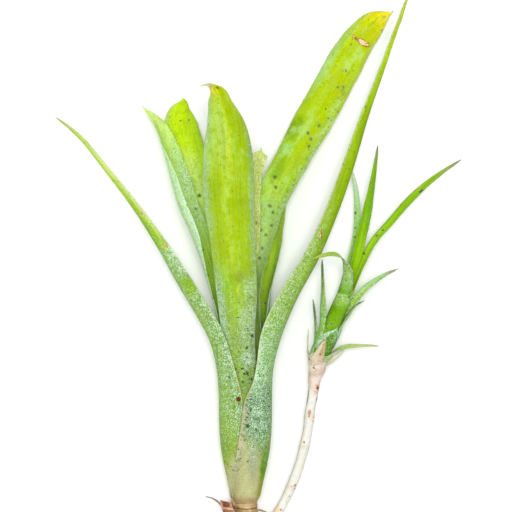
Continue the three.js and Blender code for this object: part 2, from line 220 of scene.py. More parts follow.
def leafSheet(shoot, rows, form):
    # arc of a circle carried along the leaf's course: point = centre + radius times the direction at
    # turn + wrap * v, with the centre one radius inside the row's point, and the section square to the course
    rows = np.array(rows, float)
    stops = distancesAlong(rows)
    total = stops[-1]
    s = leafStations(total, form)
    row = cubicThrough(stops, rows, s)
    freedom = np.clip(row[:, 6:7], 0, 1)
    along = unit(unit(np.gradient(row[:, :3], s, axis=0)) * freedom + shoot.along * (1 - freedom))
    side, up = crossFrame(along)
    radius, turn = row[:, 3:4], np.radians(row[:, 5])
    tipShare = np.sqrt(np.clip((total - s) / form["tipLength"], 0, 1))[:, None]
    narrow = form["tipWidth"] + (1 - form["tipWidth"]) * tipShare
    wrap = np.radians(row[:, 4:5]) * narrow
    v = np.sin(np.linspace(-1, 1, form["across"] + 1) * np.pi / 2 * form["edgeCrowd"])
    v = (v / v[-1])[None, :]
    centre = row[:, :3] - radius * turned(side, up, turn)
    rays = turned(side[:, None, :], up[:, None, :], turn[:, None] + wrap * v)
    edge = np.abs(v)
    sway = wander(s, form["seed"], form["waveLength"])[:, None] * np.sign(v)
    sway = sway + wander(s, form["seed"] + 1, form["waveLength"] * 0.6)[:, None]
    lift = form["wave"] * edge**3 * freedom * sway * narrow
    foot = 1 - smoothStep(0, form["footLength"], s)[:, None]
    hug = form["edgeHug"] * smoothStep(0.85, 1, edge) * (1 - freedom) + form["footHug"] * foot
    outer = radius + lift - hug
    thick = form["thickness"] * (1 - (1 - form["edgeThin"]) * edge**5)
    thick = thick * (form["tipThin"] + (1 - form["tipThin"]) * narrow) * (1 - form["footThin"] * foot)
    back = centre[:, None, :] + outer[..., None] * rays
    face = centre[:, None, :] + (outer - thick)[..., None] * rays
    back[..., 2] = np.maximum(back[..., 2], form["floor"])  # pressed flat where it lies on the surface
    face[..., 2] = np.maximum(face[..., 2], form["floor"] + thick)
    return {"back": back, "face": face, "s": s, "total": total, "v": v[0], "arc": radius * wrap * v,
            "rays": rays, "freedom": freedom}


def srgbOf(text):
    # "#rrggbb" as three numbers from 0 to 1
    return np.array([int(text[k:k + 2], 16) / 255 for k in (1, 3, 5)])


def linearOf(srgb):
    # the sRGB curve undone
    return np.where(srgb <= 0.04045, srgb / 12.92, ((srgb + 0.055) / 1.055) ** 2.4)


def stopsOf(text):
    # a ramp is written as "place value, place value"
    return [(float(place), value) for place, value in (stop.split() for stop in text.split(", "))]


def rampOf(share, text):
    # each channel read off the ramp at that share
    places, values = zip(*stopsOf(text))
    colours = np.array([srgbOf(value) for value in values])
    return np.stack([np.interp(share, places, colours[:, k]) for k in range(3)], axis=-1)


# What lies on a leaf: a band between two shares of its length and two of its half width, or an oval seen from
# above, with a lean in degrees. Washes have a colour, dustings an amount of scurf, and calms neither.

def band(low, high, left=-2.0, right=2.0, colour=None, amount=1.0, soft=0.5):
    return {"share": (low, high), "across": (left, right), "colour": colour, "amount": amount, "soft": soft}


def oval(x, y, radius, stretch=1.0, lean=0.0, colour=None, amount=1.0, soft=0.5):
    return {"oval": (x, y, stretch, lean), "radius": radius, "colour": colour, "amount": amount, "soft": soft}


def spray(count, low, high, smallest, largest, left=-0.9, right=0.9):
    # random round spots in a band
    return {"count": count, "along": (low, high), "across": (left, right), "radius": (smallest, largest)}


def onBack(*patches):
    # patches kept to the leaf's outer side, where others lie on both sides
    return [{**patch, "side": "back"} for patch in patches]


def onFace(*patches):
    # the same for the leaf's inner side
    return [{**patch, "side": "face"} for patch in patches]


def leaningDistance(points, x, y, stretch=1.0, lean=0.0):
    # distance from a middle in its own leaning axes, with the long one divided by its stretch
    lean = np.radians(lean)
    away = points[..., :2] - np.array((x, y))
    long = away[..., 0] * np.cos(lean) + away[..., 1] * np.sin(lean)
    short = away[..., 1] * np.cos(lean) - away[..., 0] * np.sin(lean)
    return np.hypot(long / stretch, short)


def markReach(points, marks):
    # for each point, the least of distance minus radius over the marks (x, y, radius, stretch, lean)
    reach = np.full(points.shape[:-1], farAway)
    for x, y, radius, *slant in marks:
        reach = np.minimum(reach, leaningDistance(points, x, y, *slant) - radius)
    return reach


def sprayReach(sheet, side, sprays, seed):
    # the same over seeded random spots: each lies at a drawn share of the length and of the width
    rng = np.random.default_rng(seed)
    reach = np.full(sheet["arc"].shape, farAway)
    for group in sprays:
        for _ in range(group["count"] if group.get("side", side) == side else 0):
            u = rng.uniform(*group["along"]) * sheet["total"]
            w = rng.uniform(*group["across"])
            radius = rng.uniform(*group["radius"])
            middle = np.interp(w, sheet["v"], sheet["arc"][np.argmin(np.abs(sheet["s"] - u))])
            reach = np.minimum(reach, np.hypot(sheet["arc"] - middle, sheet["s"][:, None] - u) - radius)
    return reach


def patchMask(sheet, side, patch):
    # how far a patch covers each point: 1 inside it, 0 outside, and soft between
    points, soft = sheet[side], patch["soft"]
    if patch.get("side", side) != side:
        return np.zeros(points.shape[:-1])
    if "oval" in patch:
        ragged = 0.12 * np.sin(points[..., 0] * 1.9 + 1.4 * np.sin(points[..., 1] * 1.3))
        ragged = ragged + 0.1 * np.sin(points[..., 1] * 2.3 + points[..., 0])
        away = leaningDistance(points, *patch["oval"]) / patch["radius"]
        return 1 - smoothStep(1 - soft, 1 + soft, away + ragged)
    low, high = patch["share"]
    left, right = patch["across"]
    s = sheet["s"][:, None]
    share = s / sheet["total"]
    v = sheet["v"][None, :] + (0.03 * np.sin(s * 0.7) + 0.02 * np.sin(s * 1.9 + 1))
    ends, sides = 0.12 * soft, 0.35 * soft
    mask = smoothStep(low - ends, low + ends, share) * (1 - smoothStep(high - ends, high + ends, share))
    mask = mask * smoothStep(left - sides, left + sides, v)
    return mask * (1 - smoothStep(right - sides, right + sides, v))


def tintOf(sheet, side, look):
    # linear colour of each point: its side's ramp, then each wash laid over it, then painted shade that
    # darkens it towards both edges
    share = np.broadcast_to(sheet["s"][:, None] / sheet["total"], sheet["arc"].shape)
    tint = rampOf(share, look[side])
    for wash in look["washes"]:
        mask = (patchMask(sheet, side, wash) * wash["amount"])[..., None]
        tint = tint * (1 - mask) + srgbOf(wash["colour"]) * mask
    shade = look["edgeShade"] * np.abs(sheet["v"][None, :, None]) ** 4
    return linearOf(tint * (1 - shade))


def dustOf(sheet, side, look):
    # amount of scurf at each point: its side's ramp, more near the edges, and each dusting laid over it
    share = sheet["s"][:, None] / sheet["total"]
    places, amounts = zip(*stopsOf(look[side + "Scurf"]))
    edge = sheet["v"][None, :] ** 2
    dust = np.interp(share, places, [float(amount) for amount in amounts])
    dust = dust * (1 - look["edgeScurf"] + 2 * look["edgeScurf"] * edge)
    for dusting in look["dustings"]:
        mask = patchMask(sheet, side, dusting)
        dust = dust * (1 - mask) + dusting["amount"] * mask
    return dust


def calmOf(sheet, side, look):
    # 1 where the skin is plain, without streaks and mottling
    masks = [patchMask(sheet, side, calm) for calm in look["calms"]]
    return np.max([*masks, np.zeros(sheet["arc"].shape)], axis=0)


def interpRows(at, stops, rows):
    # each column of the rows, read at those distances
    return np.stack([np.interp(at, stops, rows[:, k]) for k in range(rows.shape[1])], axis=1)


def toothShells(sheet, form):
    # spines on both margins: a spike of four sides with its foot in the edge, hooked towards the tip
    rng = np.random.default_rng(form["seed"] + 50)
    first, last = (share * sheet["total"] for share in form["toothStretch"])
    shells, places = [], []
    for column, sign in ((0, -1), (-1, 1)):
        stations = np.arange(first, last, form["toothSpacing"])
        stray = rng.uniform(-form["toothStray"], form["toothStray"], len(stations))
        stations = stations + stray * form["toothSpacing"]
        size = form["toothLength"] * rng.uniform(*form["toothSizes"], (len(stations), 1))
        edge = (sheet["back"][:, column] + sheet["face"][:, column]) / 2
        within = (sheet["back"][:, column - sign] + sheet["face"][:, column - sign]) / 2
        at = interpRows(stations, sheet["s"], edge)
        forward = unit(interpRows(stations + 0.4, sheet["s"], edge) - at)
        outward = unit(at - interpRows(stations, sheet["s"], within))
        ray = unit(interpRows(stations, sheet["s"], sheet["rays"][:, column]))
        foot = at - outward * form["toothRoot"]
        tip = at + outward * size + forward * size * form["toothHook"]
        half = size * form["toothHalf"]
        shell = np.stack([foot + forward * half, foot + ray * half * 0.4, foot - forward * half,
                          foot - ray * half * 0.4, tip], axis=1)
        shells.append(shell if sign < 0 else shell[:, [0, 3, 2, 1, 4]])
        arc = np.interp(stations, sheet["s"], sheet["arc"][:, column])
        places.append(np.stack([arc, stations, 0 * arc], axis=1))
    shells, places = np.concatenate(shells), np.concatenate(places)
    base = np.arange(len(shells))[:, None] * 5
    sides = (base[:, :, None] + np.array([[0, 1, 4], [1, 2, 4], [2, 3, 4], [3, 0, 4]])).reshape(-1, 3)
    feet = base + np.array([[3, 2, 1, 0]])
    return shells.reshape(-1, 3), sides, feet, np.repeat(places, 5, axis=0)


leafLook = {
    "back": "0 #b8c870, 1 #a8d818",  # colours from foot to tip
    "face": "0 #b8c870, 1 #a8d818",
    # painted shade: how far the tint darkens towards the leaf's edges
    "edgeShade": 0.12,
    "backScurf": "0 0.2, 1 0.1",  # amounts of scurf from foot to tip
    "faceScurf": "0 0.1, 1 0.05",
    "edgeScurf": 0.3,  # how much more of it lies near the edges
    "washes": [],
    "dustings": [],
    "calms": [],
    "scurf": "#d4f0d4",
    "scurfCover": 0.85,
    "veil": "#88bc80",
    "veilCover": 0.3,
    "grime": 0.2,
    "bands": 0.5,
    "ribs": 0.35,  # how much the fine veins shade the leaf
    "mottle": "#88b408",
    "mottleAmount": 0.35,
    "patchy": 0.0,  # 0 for pale streaks along the leaf, 1 for pale patches
    "pepper": 0.5,  # share of small dark specks where the scurf is full
    "vein": "#5c8404",
    "veinAmount": 0.35,
    "pale": "#bcd848",
    "paleAmount": 0.3,
    "edge": "#ccdc88",
    "edgeAmount": 0.5,
    "edgeWidth": 0.3,
    "tooth": "#5c6830",
    "flecks": 0.35,
    "fleck": "#3c5c28",
    "spot": "#344c28",
    "spotSoft": 0.14,
    "halo": "#90a880",  # round the spots
    "blot": "#5c2c14",
    "scarRim": "#8c5020",
    "scarBed": "#ecc8a4",
    "darkMarks": [],
    "brownMarks": [],
    "scars": [],
    "spots": [],
    "bump": 0.5,
    "bumpDepth": 0.12,
    "specular": 0.012,
}


def leafPiece(name, shoot, rows, traits):
    # closed leaf: outer and inner sheets joined round their edge and capped at both ends, with its teeth
    sheet = leafSheet(shoot, rows, traits)
    shape = sheet["arc"].shape
    rings, wide = shape

    def bothSides(back, face):
        # a value of each side, in the order in which the skin's rings run
        back, face = np.broadcast_to(back, shape), np.broadcast_to(face, shape)
        return np.concatenate([back, face[:, ::-1]], axis=1).ravel()

    skin = np.concatenate([sheet["back"], sheet["face"][:, ::-1]], axis=1)
    around = skin.shape[1]
    j = np.arange(wide - 1)
    cap = np.stack([j, j + 1, around - 2 - j, around - 1 - j], axis=1)
    faces = np.concatenate([gridFaces(rings, around), cap, (rings - 1) * around + cap[:, ::-1]]).tolist()
    arc, stations, freedom = sheet["arc"], sheet["s"][:, None], sheet["freedom"]
    toEdge = np.abs(arc[:, -1:]) - np.abs(arc)
    sides = ("back", "face")
    calm = bothSides(*(calmOf(sheet, side, traits) for side in sides))
    dust = bothSides(*(dustOf(sheet, side, traits) for side in sides))
    tints = [tintOf(sheet, side, traits) for side in sides]
    dark, brown, scar = ([markReach(sheet[side], traits[kind]) for side in sides]
                         for kind in ("darkMarks", "brownMarks", "scars"))
    dark = [np.minimum(reach, sprayReach(sheet, side, traits["spots"], traits["seed"] + 7))
            for reach, side in zip(dark, sides)]
    fields = {
        "leafPlace": [bothSides(arc, arc), bothSides(stations, stations), bothSides(0, 1)],
        "leafEdge": [bothSides(toEdge, toEdge), bothSides(0, 0), calm],
        "leafTint": [bothSides(*(tint[..., k] for tint in tints)) for k in range(3)],
        "leafCoat": [dust, bothSides(freedom, freedom), bothSides(0, 0)],
        "leafMarks": [bothSides(*dark), bothSides(*brown), bothSides(*scar)],
    }
    fields = {field: np.stack(values, axis=1) for field, values in fields.items()}
    points = skin.reshape(-1, 3)
    if traits["toothLength"] > 0:
        toothPoints, toothSides, toothFeet, toothPlaces = toothShells(sheet, traits)
        faces += (toothSides + len(points)).tolist() + (toothFeet + len(points)).tolist()
        points = np.concatenate([points, toothPoints])
        bare = {"leafPlace": toothPlaces, "leafEdge": (0, 1, 0), "leafCoat": 0, "leafMarks": farAway,
                "leafTint": linearOf(srgbOf(traits["tooth"]))}
        for field, value in bare.items():
            fields[field] = np.concatenate([fields[field], np.broadcast_to(value, toothPlaces.shape)])
    return writeMesh(name, points, faces, fields)


# Shader maths

def colourOf(text):
    return (*linearOf(srgbOf(text)).tolist(), 1.0)


class Signal:
    # a socket that can be used in Python expressions, each of which adds a Math node
    def __init__(self, bench, socket):
        self.bench = bench
        self.socket = socket

    def __add__(self, other):
        return self.bench.maths("ADD", self, other)

    def __sub__(self, other):
        return self.bench.maths("SUBTRACT", self, other)

    def __rsub__(self, other):
        return self.bench.maths("SUBTRACT", other, self)

    def __mul__(self, other):
        return self.bench.maths("MULTIPLY", self, other)

    def __abs__(self):
        return self.bench.maths("ABSOLUTE", self)

    __radd__ = __add__
    __rmul__ = __mul__


class Bench:
    # one material and its nodes
    def __init__(self, name):
        self.material = bpy.data.materials.new(name)
        self.material.use_nodes = True
        self.tree = self.material.node_tree
        self.tree.nodes.clear()
        self.colour = None

    def node(self, kind, inputs=None, out=0, stops=None, **settings):
        # any node: its settings first, then the values or links of its sockets
        made = self.tree.nodes.new(kind)
        for key, value in settings.items():
            setattr(made, key, value)
        if stops:
            ramp = made.color_ramp
            while len(ramp.elements) < len(stops):
                ramp.elements.new(0.5)
            for element, (place, colour) in zip(ramp.elements, stops):
                element.position = place
                element.color = colour
        for key, value in (inputs or {}).items():
            if isinstance(value, Signal):
                self.tree.links.new(value.socket, made.inputs[key])
            else:
                made.inputs[key].default_value = value
        return Signal(self, made.outputs[out]) if made.outputs else made

    def maths(self, operation, *values):
        return self.node("ShaderNodeMath", dict(enumerate(values)), operation=operation)

    def clamp(self, value):
        return self.node("ShaderNodeClamp", {0: value})

    def rise(self, value, low, high):
        # smooth step of the value from 0 at low to 1 at high
        return self.node("ShaderNodeMapRange", {0: value, 1: low, 2: high}, interpolation_type="SMOOTHSTEP")

    def fall(self, value, low, high):
        return 1.0 - self.rise(value, low, high)

    def ramp(self, value, text):
        stops = [(place, colourOf(colour)) for place, colour in stopsOf(text)]
        return self.node("ShaderNodeValToRGB", {0: value}, stops=stops)

    def paint(self, factor, colour):
        # mixes a colour, which is a link or hex text, over the colour so far
        colour = colourOf(colour) if isinstance(colour, str) else colour
        layers = {0: factor, 6: self.colour, 7: colour}
        self.colour = self.node("ShaderNodeMix", layers, out=2, data_type="RGBA")

    def parts(self, vector):
        outputs = self.node("ShaderNodeSeparateXYZ", {0: vector}).socket.node.outputs
        return [Signal(self, output) for output in outputs]

    def attribute(self, name):
        return self.parts(self.node("ShaderNodeAttribute", out="Vector", attribute_name=name))

    def vector(self, x, y, z):
        return self.node("ShaderNodeCombineXYZ", {0: x, 1: y, 2: z})

    def cells(self, x, y, z):
        # distance to the middle of each random cell, and a random number that the cell has
        cell = self.node("ShaderNodeTexVoronoi", {"Vector": self.vector(x, y, z), "Scale": 1.0})
        return cell, self.parts(Signal(self, cell.socket.node.outputs["Color"]))[0]

    def noise(self, x, y, z, detail=2.0, roughness=0.5):
        return self.node("ShaderNodeTexNoise", {
            "Vector": self.vector(x, y, z), "Scale": 1.0, "Detail": detail, "Roughness": roughness,
        }, out="Fac")

    def finish(self, roughness, height, look):
        bump = self.node("ShaderNodeBump", {
            "Strength": look["bump"], "Distance": look["bumpDepth"] * metresPerMm, "Height": height,
        })
        shader = self.node("ShaderNodeBsdfPrincipled", {
            "Base Color": self.colour, "Roughness": roughness, "Normal": bump,
            "Specular IOR Level": look["specular"],
        })
        self.node("ShaderNodeOutputMaterial", {0: shader})
        return self.material


def leafMaterial(name, look):
    # the tint of the surface, then patches, veins, scurf, edge line, flecks, spots and scars over it
    bench = Bench(name)
    arc, along, inner = bench.attribute("leafPlace")
    toEdge, tooth, calm = bench.attribute("leafEdge")
    dust, freedom, _ = bench.attribute("leafCoat")
    dark, brown, scar = bench.attribute("leafMarks")
    live = 1.0 - tooth
    loose = 1.0 - calm
    free = (freedom * 0.7 + 0.3) * loose
    layer = inner * 17.0 + look["seed"] * 3.7
    patch = bench.noise(arc * 0.3, along * 0.1, layer, 3.0)
    vein = bench.noise(arc * 1.4, along * 0.03, layer + 9.0)
    fineVein = bench.noise(arc * 4.5, along * 0.05, layer + 13.0, 1.0)
    grain = bench.noise(arc * 2.4, along * 2.1, layer + 21.0, 3.0, 0.65)
    clump = bench.noise(arc * 0.8, along * 0.6, layer + 24.0, 3.0)
    hoop = bench.noise(arc * 0.15, along * 1.3, layer + 27.0, 1.0)
    wobble = bench.noise(arc * 1.6, along * 1.6, layer + 31.0) - 0.5
    bench.colour = bench.node("ShaderNodeHueSaturation", {
        "Hue": 0.5 + (patch - 0.5) * 0.03, "Saturation": 1.0 + (vein - 0.5) * 0.3,
        "Value": 1.0 + (patch - 0.5) * 0.4 + (fineVein - 0.5) * free * look["ribs"] + (grain - 0.5) * 0.7,
        "Color": bench.node("ShaderNodeAttribute", out="Vector", attribute_name="leafTint"),
    })
    patchy = look["patchy"]
    streaks = 0.45 - patchy * 0.35
    blotch = bench.noise(arc * 0.32, along * 0.2, layer + 47.0) * patchy + clump * (1.0 - patchy)
    pales = vein * streaks + blotch * (0.75 - streaks) + patch * 0.25
    pales = bench.rise(pales, 0.49, 0.59 + patchy * 0.06) * free
    bench.paint(pales * look["paleAmount"], look["pale"])
    mottle = bench.noise(arc * 0.55, along * 0.4, layer + 61.0, 3.0, 0.6)
    mottles = bench.rise(mottle + (vein - 0.5) * streaks, 0.5, 0.58 + patchy * 0.08) * (1.0 - pales) * loose
    bench.paint(mottles * look["mottleAmount"], look["mottle"])
    lines = bench.rise(1.0 - fineVein + (vein - 0.5) * 0.5, 0.5, 0.72)
    bench.paint(lines * free * look["veinAmount"], look["vein"])

    amount = dust * (1.0 + (hoop - 0.5) * look["bands"] * 2.0) + (clump - 0.5) * dust * 1.6
    bench.paint(bench.clamp(amount * look["veilCover"]), look["veil"])
    speck = bench.noise(arc * 4.2, along * 3.4, layer + 3.0, 2.0, 0.6)
    cover = bench.rise(speck + amount * 0.25, 0.63, 0.68) * bench.rise(dust, 0.01, 0.1) * live
    bench.paint(cover * look["scurfCover"], look["scurf"])
    shade = bench.noise(arc * 3.6, along * 3.0, layer + 55.0, 2.0, 0.6)
    dirt = bench.rise(shade + amount * look["grime"], 0.64, 0.69) * (1.0 - cover) * live
    bench.paint(dirt * 0.7, look["fleck"])
    grains, drawn = bench.cells(arc * 1.7, along * 1.5, layer + 70.0)
    pepper = bench.fall(grains + wobble * 0.3, 0.17, 0.3) * live
    pepper = pepper * bench.fall(drawn - amount * look["pepper"], -0.02, 0.03) * bench.rise(dust, 0.02, 0.1)
    bench.paint(pepper * 0.8, look["spot"])

    line = bench.fall(toEdge + wobble * 0.5, look["edgeWidth"] * 0.5, look["edgeWidth"] * 1.4) * live
    line = line * bench.rise(grain + (hoop - 0.5) * 0.5, 0.36, 0.5) * (1.0 - freedom * 0.5)
    line = line * (0.15 + loose * 0.85)
    bench.paint(line * look["edgeAmount"], look["edge"])
    dots, picked = bench.cells(arc * 0.75, along * 0.75, layer + 40.0)
    flecks = bench.fall(dots + wobble * 0.1, 0.09, 0.18)
    flecks = flecks * bench.fall(picked, look["flecks"], look["flecks"] + 0.05) * live
    bench.paint(flecks * 0.7, look["fleck"])
    bench.paint(bench.fall(dark + wobble * 0.9, 0.1, 0.55) * 0.2, look["halo"])
    spot = bench.fall(dark + wobble * 1.1, -look["spotSoft"], look["spotSoft"] + 0.03)
    bench.paint(spot * 0.85, look["spot"])
    bench.paint(bench.fall(brown + wobble * 0.4, -0.08, 0.12) * 0.95, look["blot"])
    torn = scar + wobble * 1.3
    bench.paint(0.9 - bench.rise(torn, 0.1, 0.24) * 0.9, look["scarRim"])
    bench.paint(bench.fall(torn, -0.1, -0.02), look["scarBed"])
    height = fineVein * 0.4 + vein * 0.25 + cover * 0.35 - spot * 0.2
    return bench.finish(cover * 0.25 + 0.5, height, look)


def dressLeaf(name, slot, shoot, rows, traits):
    # the finished leaf that stands for the CAD node of that name
    traits = {**leafForm, **leafLook, **traits}
    settle(leafPiece(name + "_blade", shoot, rows, traits), slot, leafMaterial(name + "_skin", traits), name)


# Mother leaves, outermost sheath first. A sheath is (layer, foot height, turn, (wrap at foot, wrap at mouth))
# and a blade's rows are [x, y, z, half width, wrap, turn].

def motherLeaf(name, slot, sheath, blade, traits):
    dressLeaf(name, slot, mother, sheathRows(*sheath) + [bladeRow(*row) for row in blade], traits)


motherLeaf("leaf_right_long", "leaf_scurfy", (0, -24.8, -10, (160, 100)), [
    [9.5, 18.9, 11, 10.5, 67, 0], [11.8, 28.2, 12, 9.8, 68, 10], [16.5, 40.3, 12.5, 7.3, 65, 20],
    [23.3, 53.1, 13, 5.7, 62, 25], [29, 66.6, 13.3, 4.7, 60, 28], [33.9, 80.3, 13.5, 4.3, 60, 28],
    [39.1, 97.6, 13, 3, 58, 28], [44.8, 114.2, 12.5, 2, 50, 28], [50.2, 130.2, 12, 1.2, 34, 28],
    [54.1, 141.8, 11.5, 0.35, 10, 28],
], dict(
    seed=11, floor=0, across=60, footHug=0.7,
    back="0 #b09468, 0.03 #b8a478, 0.06 #b4b080, 0.12 #8c9844, 0.2 #5c8830, 0.26 #84bc50, 0.34 #94bc34, "
         "0.46 #84a804, 0.56 #88aa02, 0.75 #90b400, 0.86 #b0cc08, 1 #c8d028",
    face="0 #b4b080, 0.3 #7ca430, 0.6 #80a810, 1 #98b818",
    backScurf="0 0.03, 0.06 0.04, 0.12 0.3, 0.18 0.48, 0.24 0.6, 0.32 0.52, 0.4 0.28, 0.5 0.1, 0.58 0, "
              "1 0",
    faceScurf="0 0.1, 1 0.1",
    pale="#b4d030", spot="#383c20", edge="#e0e0b8", edgeAmount=0.8, edgeWidth=0.5,
    washes=onBack(
        # painted shade and light: the darker bands on the blade's right half and the lighter band on its left
        # edge stand in for light falling from the left
        band(0.5, 0.84, -1.5, -0.1, "#6c9000", 0.8, 0.8), band(0.42, 0.97, 0.5, 1.5, "#a4c414", 0.6, 0.8),
        band(0.3, 0.46, -1.5, -0.25, "#6c9810", 0.5, 0.8), oval(4.5, 3.2, 4.2, 2.4, 90, "#40703c"),
        oval(1, -17, 4.2, 3, 86, "#bcbc84", soft=0.5), oval(7, -12, 1.5, 4.4, 80, "#5c8c04"),
        oval(5.3, -20, 0.8, 5, 74, "#909c34", soft=0.8),
        oval(1.2, -24.6, 1.5, 3.6, 0, "#b0946c", soft=0.9),
        oval(3, -12, 1.6, 3.4, 88, "#94987c", 0.6, 0.8), band(0.08, 0.22, 0.9, 1.5, "#d8cca8", 0.9, 0.3),
        band(0.24, 0.36, 0.93, 1.5, "#c8dca0", 0.8, 0.2),
    ),
    dustings=onBack(
        band(0.3, 0.54, 0.5, 1.4, amount=0.36, soft=0.8),
        oval(4.8, 3.2, 4, 2.4, 90, amount=0.55, soft=0.35),
        oval(1, -18, 4.4, 2.8, 86, amount=0.03, soft=0.4),
        oval(3, -8, 1.6, 2.6, 88, amount=0.3, soft=0.8), band(0.08, 0.22, 0.9, 1.5, amount=0.06, soft=0.3),
    ),
    calms=onBack(oval(1, -17, 4.6, 3, 86, soft=0.4), band(0.08, 0.22, 0.9, 1.5, soft=0.3)),
    darkMarks=[(1.3, 0, 0.6), (2.1, -3.2, 0.35)],
    scars=[(24.4, 60.8, 0.32, 3.4, 66)],
    spots=onBack(
        spray(34, 0.08, 0.19, 0.16, 0.3, 0.3, 0.9), spray(44, 0.06, 0.2, 0.18, 0.3, 0.84, 0.98),
        spray(14, 0.04, 0.08, 0.12, 0.2, 0.2, 0.9),
    ) + [
        spray(14, 0.12, 0.3, 0.1, 0.3, 0, 0.9), spray(8, 0.5, 0.9, 0.1, 0.2),
    ],
))

motherLeaf("leaf_left_narrow", "leaf_scurfy", (1, -24.2, 180, (120, 92), 0.7), [
    [-9.1, 20.2, 11.3, 10, 68, 178], [-11.3, 28.2, 12.8, 7.6, 63, 168], [-14.3, 34.2, 13, 6.4, 60, 160],
    [-21, 45.8, 13.4, 5.4, 60, 155], [-27.5, 57.3, 14, 4.1, 58, 155], [-35.8, 70.1, 14.5, 2.7, 55, 155],
    [-44.5, 81.6, 15, 2.1, 50, 155], [-53.9, 93.1, 15, 1.3, 36, 155], [-60, 98.2, 15, 0.35, 10, 155],
], dict(
    seed=12, across=56, footHug=0.5,
    back="0 #b8b080, 0.05 #b0b070, 0.1 #9ca448, 0.16 #84a030, 0.25 #7ca024, 0.36 #749c1c, 0.5 #7ca018, "
         "0.6 #78a008, 0.64 #94bc08, 0.9 #9cc010, 1 #b4c430",
    face="0 #b4b080, 0.4 #80a830, 0.7 #88b010, 1 #a0b418",
    backScurf="0 0.03, 0.1 0.12, 0.2 0.35, 0.3 0.4, 0.42 0.42, 0.52 0.5, 0.605 0.55, 0.62 0.12, 0.8 0.1, "
              "1 0.15",
    edge="#d8dca0", edgeAmount=0.8, edgeWidth=0.35,
    washes=onBack(
        oval(-17.3, 44.8, 2.4, 1.6, 125, "#7ca808"), band(0.72, 0.95, -1.5, 0.2, "#bcd848", 0.9),
        band(0.62, 0.9, -1.5, -0.6, "#d4e488", 0.8), band(0.6, 0.72, -0.5, 0.4, "#78b000", 0.9, 0.8),
        band(0.6, 0.97, 0.24, 1.5, "#749408", 0.8, 0.4),
        oval(-24.6, 56.9, 0.8, 2, 0, "#c8b400", 0.95, 0.6),
        oval(-24.3, 57.3, 0.25, 1, 0, "#d88c10", soft=0.8),
        oval(-32.4, 67.6, 0.6, 1.4, 120, "#e0b878", 0.7, 0.8),
        oval(-6.6, -6.5, 2.2, 1.7, 92, "#5c8c1c", 0.5, 0.8),
        oval(-2.6, -17, 2.6, 3, 84, "#b4b884", soft=0.5),
        oval(-8, -18, 1.4, 4, 110, "#98a83c", 0.8, 0.7), band(0.03, 0.2, -1.5, -0.9, "#c8cc9c", 0.7, 0.3),
    ),
    calms=onBack(oval(-2.6, -18, 2.8, 3, 84, soft=0.4)),
    dustings=onBack(oval(-17.3, 44.8, 2.2, 1.6, 125, amount=0.1)),
    brownMarks=[(-1.7, 8.6, 0.8), (-6, -11.4, 0.28), (-5.2, -12.2, 0.18), (-4.1, -13, 0.3)],
    darkMarks=[(-2.8, 6.1, 0.25), (-2.7, 2, 0.25), (-4.6, 15.6, 0.45)],
    scars=[(-32.4, 67.8, 0.2)],
    spots=[spray(26, 0.05, 0.5, 0.08, 0.25, -0.95, 0.3)],
))

